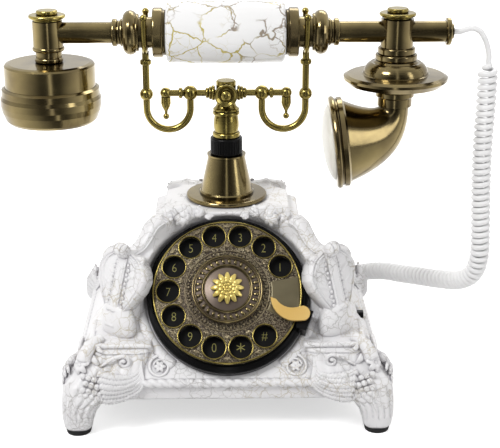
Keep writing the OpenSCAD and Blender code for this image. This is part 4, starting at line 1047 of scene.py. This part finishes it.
def side_panel(inset):
    """Raised frame and a spray of leaves on a face that carries no dial"""
    rim = slope_frame([(-35, 91), (35, 91), (50, 57), (-50, 57)], 40, 1.5, 10, 0.2, inset)
    centre = on_slope(0.0, 70.0, 0.2, inset)
    lobes = [(90 + a, 15 - 0.05 * abs(a), 3.4, 1.8) for a in (0, -32, 32, -64, 64)]
    lobes += [(-90 + a, 12.0, 2.8, 1.4) for a in (0, -40, 40)]
    solids = [rim] + spray(centre, ACROSS, SLOPE, FACE_OUT, lobes)
    solids.append(dome(centre, ACROSS, SLOPE, FACE_OUT, (4.0, 4.0), 3.2))
    for s in (-1, 1):
        eye = on_slope(22.0 * s, 67.0, 0.2, inset)
        coil = spiral(eye, s * ACROSS, SLOPE, 180, 180 + 540, 8.6, 1.6, count=90)
        stem = smooth_path([centre + 3 * s * ACROSS - 3 * SLOPE, on_slope(8.0 * s, 62.5, 0.3, inset),
                            coil[0]], 20)
        solids.append(tube(np.vstack([stem[:-1], coil]), np.linspace(1.3, 0.9, 109), sides=10))
        solids.append(petal(on_slope(33.0 * s, 66.0, 0.2, inset), unit(s * ACROSS - 0.4 * SLOPE),
                            FACE_OUT, 9.0, 2.2, 1.2))
    return solids


def make_carving():
    """Every piece of carving on the base, and the cast base under it"""
    back_crest = mirrored(crest(PLATFORM_BACK, 111.8), (1, -1, 1))
    console = console_stem() + console_strip() + console_leaf() + console_bowl()
    carving = {
        "leg_carving": four_corners([leg_skin()]),
        "wing_carving": four_corners(both_faces(wing() + scales())),
        "knee_flowers": four_corners(flower() + knee_leaf()),
        "ledge_mouldings": four_corners(ledge_moulding() + both_faces(scroll_relief())),
        "console_carving": both_sides(console),
        "dial_surround": dial_surround() + both_sides(shell_scroll()),
        "platform_crests": both_sides(crest(PLATFORM_FRONT, 115.8) + back_crest + platform_panel()),
        "rope_mouldings": [moved(rope(), turn_z(q)) for q in (0, 90, 180, 270)],
        "side_panels": [moved(s, turn_z(q))
                        for q, inset in ((90, 0.0), (-90, 0.0), (180, BACK_INSET))
                        for s in side_panel(inset)],
    }
    for name, solids in carving.items():
        piece(name, solids, RESIN, "base")
    make_cast_base()


# ---------------------------------------------------------------- the dial


def in_dial(r, degrees, out):
    """Points of the dial: distance from its axis, angle from its right-hand side, height along it"""
    a = np.radians(degrees)
    return in_face(r * np.cos(a), r * np.sin(a), out)


def wheel_top(r):
    """Height of the dished wheel: it falls from its middle with the square of the radius"""
    return WHEEL_RIM_TOP + WHEEL_DISH * (1 - (r / WHEEL_R) ** 2)


def dial_ring(radius, height, thickness, x=0.0, s=0.0, sides=10, count=120):
    """Round wire bent to a circle that lies square to the dial's axis"""
    a = round_angles(count)[:, None]
    b = round_angles(sides)[None]
    r = radius + thickness * np.cos(b)
    points = in_face(x + r * np.cos(a), s + r * np.sin(a), height + thickness * np.sin(b))
    return grid(points, wrap_rows=True, wrap_columns=True)


def dial_bead(r, degrees, out, radius, height, sides=8):
    """Small round boss on the dial"""
    return dome(in_dial(r, degrees, out), ACROSS, SLOPE, FACE_OUT, (radius, radius), height,
                sides=sides, rings=3)


def dial_leaf(r, degrees, out, length, width, curl, turn=0.0):
    """Small leaf that points away from the dial's axis, or turned from that by an angle"""
    return petal(in_dial(r, degrees, out), toward(degrees + turn, ACROSS, SLOPE), FACE_OUT,
                 length, width, curl, count=12)


def wheel_rims():
    """Bright rim round the wheel, and one round each finger hole"""
    solids = [dial_ring(WHEEL_R - 0.5, wheel_top(WHEEL_R) + 0.05, 0.55, count=160)]
    for i in range(HOLES):
        a = math.radians(FIRST_HOLE + HOLE_PITCH * i)
        x, s = HOLE_RING_R * math.cos(a), HOLE_RING_R * math.sin(a)
        solids.append(dial_ring(HOLE_R + 0.4, HOLE_RIM_TOP, 0.4, x, s, sides=8, count=48))
    return solids


def wheel_band():
    """Band of beads and small leaves between the medallion and the holes, edged by thin rings"""
    solids = [dial_ring(24.6, wheel_top(24.6) + 0.15, 0.36, sides=8)]
    for i in range(36):
        a = 10.0 * i
        solids.append(dial_bead(22.9, a, wheel_top(22.9) - 0.1, 0.85, 0.95))
        solids.append(dial_leaf(21.2, a + 5.0, wheel_top(21.5), 2.6, 0.55, 0.5))
    return solids


def wheel_sprigs():
    """Small sprigs on the wheel between the holes: three leaves outwards and three inwards"""
    solids = []
    for i in range(HOLES - 1):
        a = FIRST_HOLE + HOLE_PITCH * (i + 0.5)
        for r, middle, length, spread in ((26.4, 27, 3.4, 36), (39.6, 40, 2.5, 58)):
            for turn in (-spread, 0, spread):
                solids.append(dial_leaf(r, a, wheel_top(middle) - 0.1, length, 0.6, 0.35, turn))
    return solids


def plain_sector():
    """Smooth brushed field of the wheel beside the finger stop"""
    r = np.linspace(25.6, 42.6, 20)[:, None]
    a = np.linspace(-27.5, 12.0, 40)[None]
    front = in_dial(r, a, wheel_top(r) + 0.16)
    return [pad(front, front - 0.6 * FACE_OUT)]


def medallion_rings():
    """Turned rings of the medallion, with a band of slanting leaves and beads between them"""
    solids = [dial_ring(r, HUB_TOP + h, t)
              for r, h, t in ((20.1, 2.0, 0.62), (18.9, 2.1, 0.3), (14.4, 2.6, 0.5), (13.4, 2.3, 0.25))]
    for i in range(30):
        solids.append(dial_leaf(15.4, 12.0 * i, HUB_TOP + 1.6, 3.2, 0.85, 0.35, 14))
        solids.append(dial_bead(17.9, 12.0 * i + 5.0, HUB_TOP + 1.5, 0.4, 0.5, sides=7))
    return solids


def rosette():
    """Gilt rose of three rows of petals on the medallion's dome"""
    solids = []
    rows = (12, 2.6, 7.0, 1.7, 1.0, 0), (10, 1.8, 4.8, 1.4, 1.4, 18), (6, 0.6, 2.8, 1.1, 1.2, 0)
    for count, r, length, width, rise, start in rows:
        height = HUB_TOP + 3.5 + 0.12 * (9 - length)
        solids += [dial_leaf(r, start + 360 / count * i, height, length, width, rise)
                   for i in range(count)]
    return solids + [dial_bead(0.0, 0.0, HUB_TOP + 4.6, 1.5, 1.5, sides=16)]


FIGURE_SIZE = 7.8
FIGURE_THIN = 0.14
FIGURE_SLIM = 0.82
FIGURE_RAISE = 1.2
FIGURE_LIFT = 0.06
STAR_REACH = 2.7
STAR_HALF = 0.24
STAR_HIGH = 0.1
STAR_SLOT = 10


def figure_mesh(sign):
    """Flat corners and faces of one sign, centred, from the plain built-in font"""
    data = bpy.data.curves.new("figure", "FONT")
    data.body = sign
    data.size = FIGURE_SIZE
    data.offset = -FIGURE_THIN
    data.extrude = STAR_HIGH / 2
    holder = add_object("figure", data)
    shown = holder.evaluated_get(bpy.context.evaluated_depsgraph_get())
    mesh = bpy.data.meshes.new_from_object(shown)
    flat = np.empty(len(mesh.vertices) * 3)
    mesh.vertices.foreach_get("co", flat)
    flat = flat.reshape(-1, 3)
    flat[:, :2] -= (flat[:, :2].min(0) + flat[:, :2].max(0)) / 2
    flat[:, 0] *= FIGURE_SLIM
    faces = [list(p.vertices) for p in mesh.polygons]
    bpy.data.objects.remove(holder)
    bpy.data.meshes.remove(mesh)
    return flat, faces


def star_bar(degrees):
    """One of the star's three bars: a block on the plate, turned by an angle"""
    block = [(x * STAR_REACH, y * STAR_HALF, z) for z in (0, STAR_HIGH) for x, y in SQUARE]
    faces = [(3, 2, 1, 0), (4, 5, 6, 7), (0, 1, 5, 4), (1, 2, 6, 5), (2, 3, 7, 6), (3, 0, 4, 7)]
    return np.array(block) @ turn_z(degrees).T, faces


def make_figures():
    """The signs 1 to 9, 0, star and hash on the number plate, upright under the wheel's holes"""
    axes = np.stack([ACROSS, SLOPE, FACE_OUT])
    signs = [(i + (sign == "#"), *figure_mesh(sign)) for i, sign in enumerate("1234567890#")]
    signs += [(STAR_SLOT, *star_bar(a)) for a in (30, 90, 150)]
    points, faces, count = [], [], 0
    for slot, flat, own_faces in signs:
        centre = in_dial(HOLE_RING_R, FIRST_HOLE + HOLE_PITCH * slot, PLATE_TOP + FIGURE_LIFT)
        points.append(centre + FIGURE_RAISE * SLOPE + flat @ axes)
        faces += [[v + count for v in face] for face in own_faces]
        count += len(flat)
    mesh = bpy.data.meshes.new("figures")
    mesh.from_pydata((np.vstack(points) * MM).tolist(), [], faces)
    mesh.materials.append(FIGURES)
    obj = add_object("figures", mesh)
    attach(obj, "base")


def make_dial():
    """The wheel's relief and the medallion, which turn with the dial, and the figures under them"""
    relief = {"wheel_rims": (wheel_rims(), RUBBED_BRASS), "wheel_band": (wheel_band(), BAND_BRASS),
              "wheel_sprigs": (wheel_sprigs(), BAND_BRASS), "plain_sector": (plain_sector(), OLIVE),
              "medallion_rings": (medallion_rings(), BRASS)}
    for name, (solids, material) in relief.items():
        piece(name, solids, material, "dial")
    piece("rosette", rosette(), GILT, "dial")
    make_figures()


SHARP_EDGE = math.radians(50.0)


def smooth_node(node, body, material):
    """The node's own mesh with its corners merged, and its shading rounded except over sharp edges"""
    work = node_copy(node)
    for face in work.faces:
        face.smooth = True
    for edge in work.edges:
        edge.smooth = len(edge.link_faces) == 2 and edge.calc_face_angle(0.0) < SHARP_EDGE
    mesh = to_mesh(work, node + "_smooth")
    mesh.materials.clear()
    mesh.materials.append(material)
    obj = add_object(node + "_smooth", mesh)
    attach(obj, body)
    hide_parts(node)


# ---------------------------------------------------------------- cord

CORD_D = 3.6
COIL_D = 12.6
COIL_PITCH = 4.1
COIL_STEPS = 16
COIL_FADE = 1.2
CORD_SIDES = 8
TAIL_TOP = [(135.72, 0, 217.6), (139.6, 0, 217.6), (143.6, 0, 218.8), (148, 0, 219.4), (152, 0, 217.4),
            (155.2, 0, 212.6), (157, 0, 207.6), (158, 0, 203), (158, 0, 198.1)]
COIL_ROUTE = [(158, 0, 198), (158, 0, 186), (158, 0, 170), (157.6, 0, 150), (157.8, 0, 130),
              (158.6, 0, 110), (159.6, 0, 90), (160, 1, 74), (158, 7, 60), (152, 20, 50), (143, 36, 44),
              (132, 54, 39), (121, 72, 34), (111, 90, 29), (100, 104, 23), (90, 111, 18), (80, 113, 16),
              (72, 113, 16)]
TAIL_BASE = [(71.9, 113, 16), (66, 113, 16), (60, 113, 16.6), (54, 112, 18.6), (48.4, 109, 21.8),
             (44.4, 104.4, 25), (42.4, 99, 26.4), (42, 95, 26.6), (42, 91.22, 26.6)]


def cord_path():
    """Tail, curly stretch and tail as one line: the coil's radius grows from 0 and dies away again"""
    top = smooth_path(TAIL_TOP, 40)
    low = smooth_path(TAIL_BASE, 60)
    axis = smooth_path(COIL_ROUTE, 4000)
    length = np.linalg.norm(np.diff(axis, axis=0), axis=1).sum()
    turns = round(length / COIL_PITCH)
    steps = turns * COIL_STEPS
    along = np.linspace(0, 1, steps + 1)
    place = np.linspace(0, len(axis) - 1, steps + 1)
    centre = np.stack([np.interp(place, np.arange(len(axis)), axis[:, k]) for k in range(3)], -1)
    tangent = unit(np.gradient(centre, axis=0))
    level = unit(np.cross(tangent, np.array([-0.5, 0.86, 0.0])))
    other = np.cross(tangent, level)
    fade = np.minimum(1, np.minimum(along, 1 - along) * turns / COIL_FADE)
    radius = (COIL_D - CORD_D) / 2 * fade[:, None]
    phase = 2 * np.pi * turns * along[:, None]
    coil = centre + radius * (np.cos(phase) * level + np.sin(phase) * other)
    return np.vstack([top[:-1], coil, low[1:]])


def make_cord():
    """The cord as one tube with flat closed ends, lying as long as it is"""
    path = cord_path()
    points = tube(path, CORD_D / 2, sides=CORD_SIDES, round_ends=False)[0]
    rings = points.reshape(len(path), CORD_SIDES, 3)
    cord = piece("cord", [closed_rings(rings, path[0], path[-1])], CORD, None)
    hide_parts("cord_tail_handset", "cord_coil", "cord_tail_base")
    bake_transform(cord)


make_camera()
make_world()
make_floor()
make_lamp("key", (-0.75, -0.75, 1.25), (0.5, 0.5), 13)
make_lamp("fill", (1.2, -0.9, 0.7), (0.35, 1.0), 4)
make_lamp("back", (0.3, 1.1, 1.2), (1.0, 0.5), 6)
dress_nodes()
make_cord()
make_carving()
make_dial()
smooth_node("mouth_horn", "handset", BRASS)
bpy.context.scene.view_settings.view_transform = "Standard"
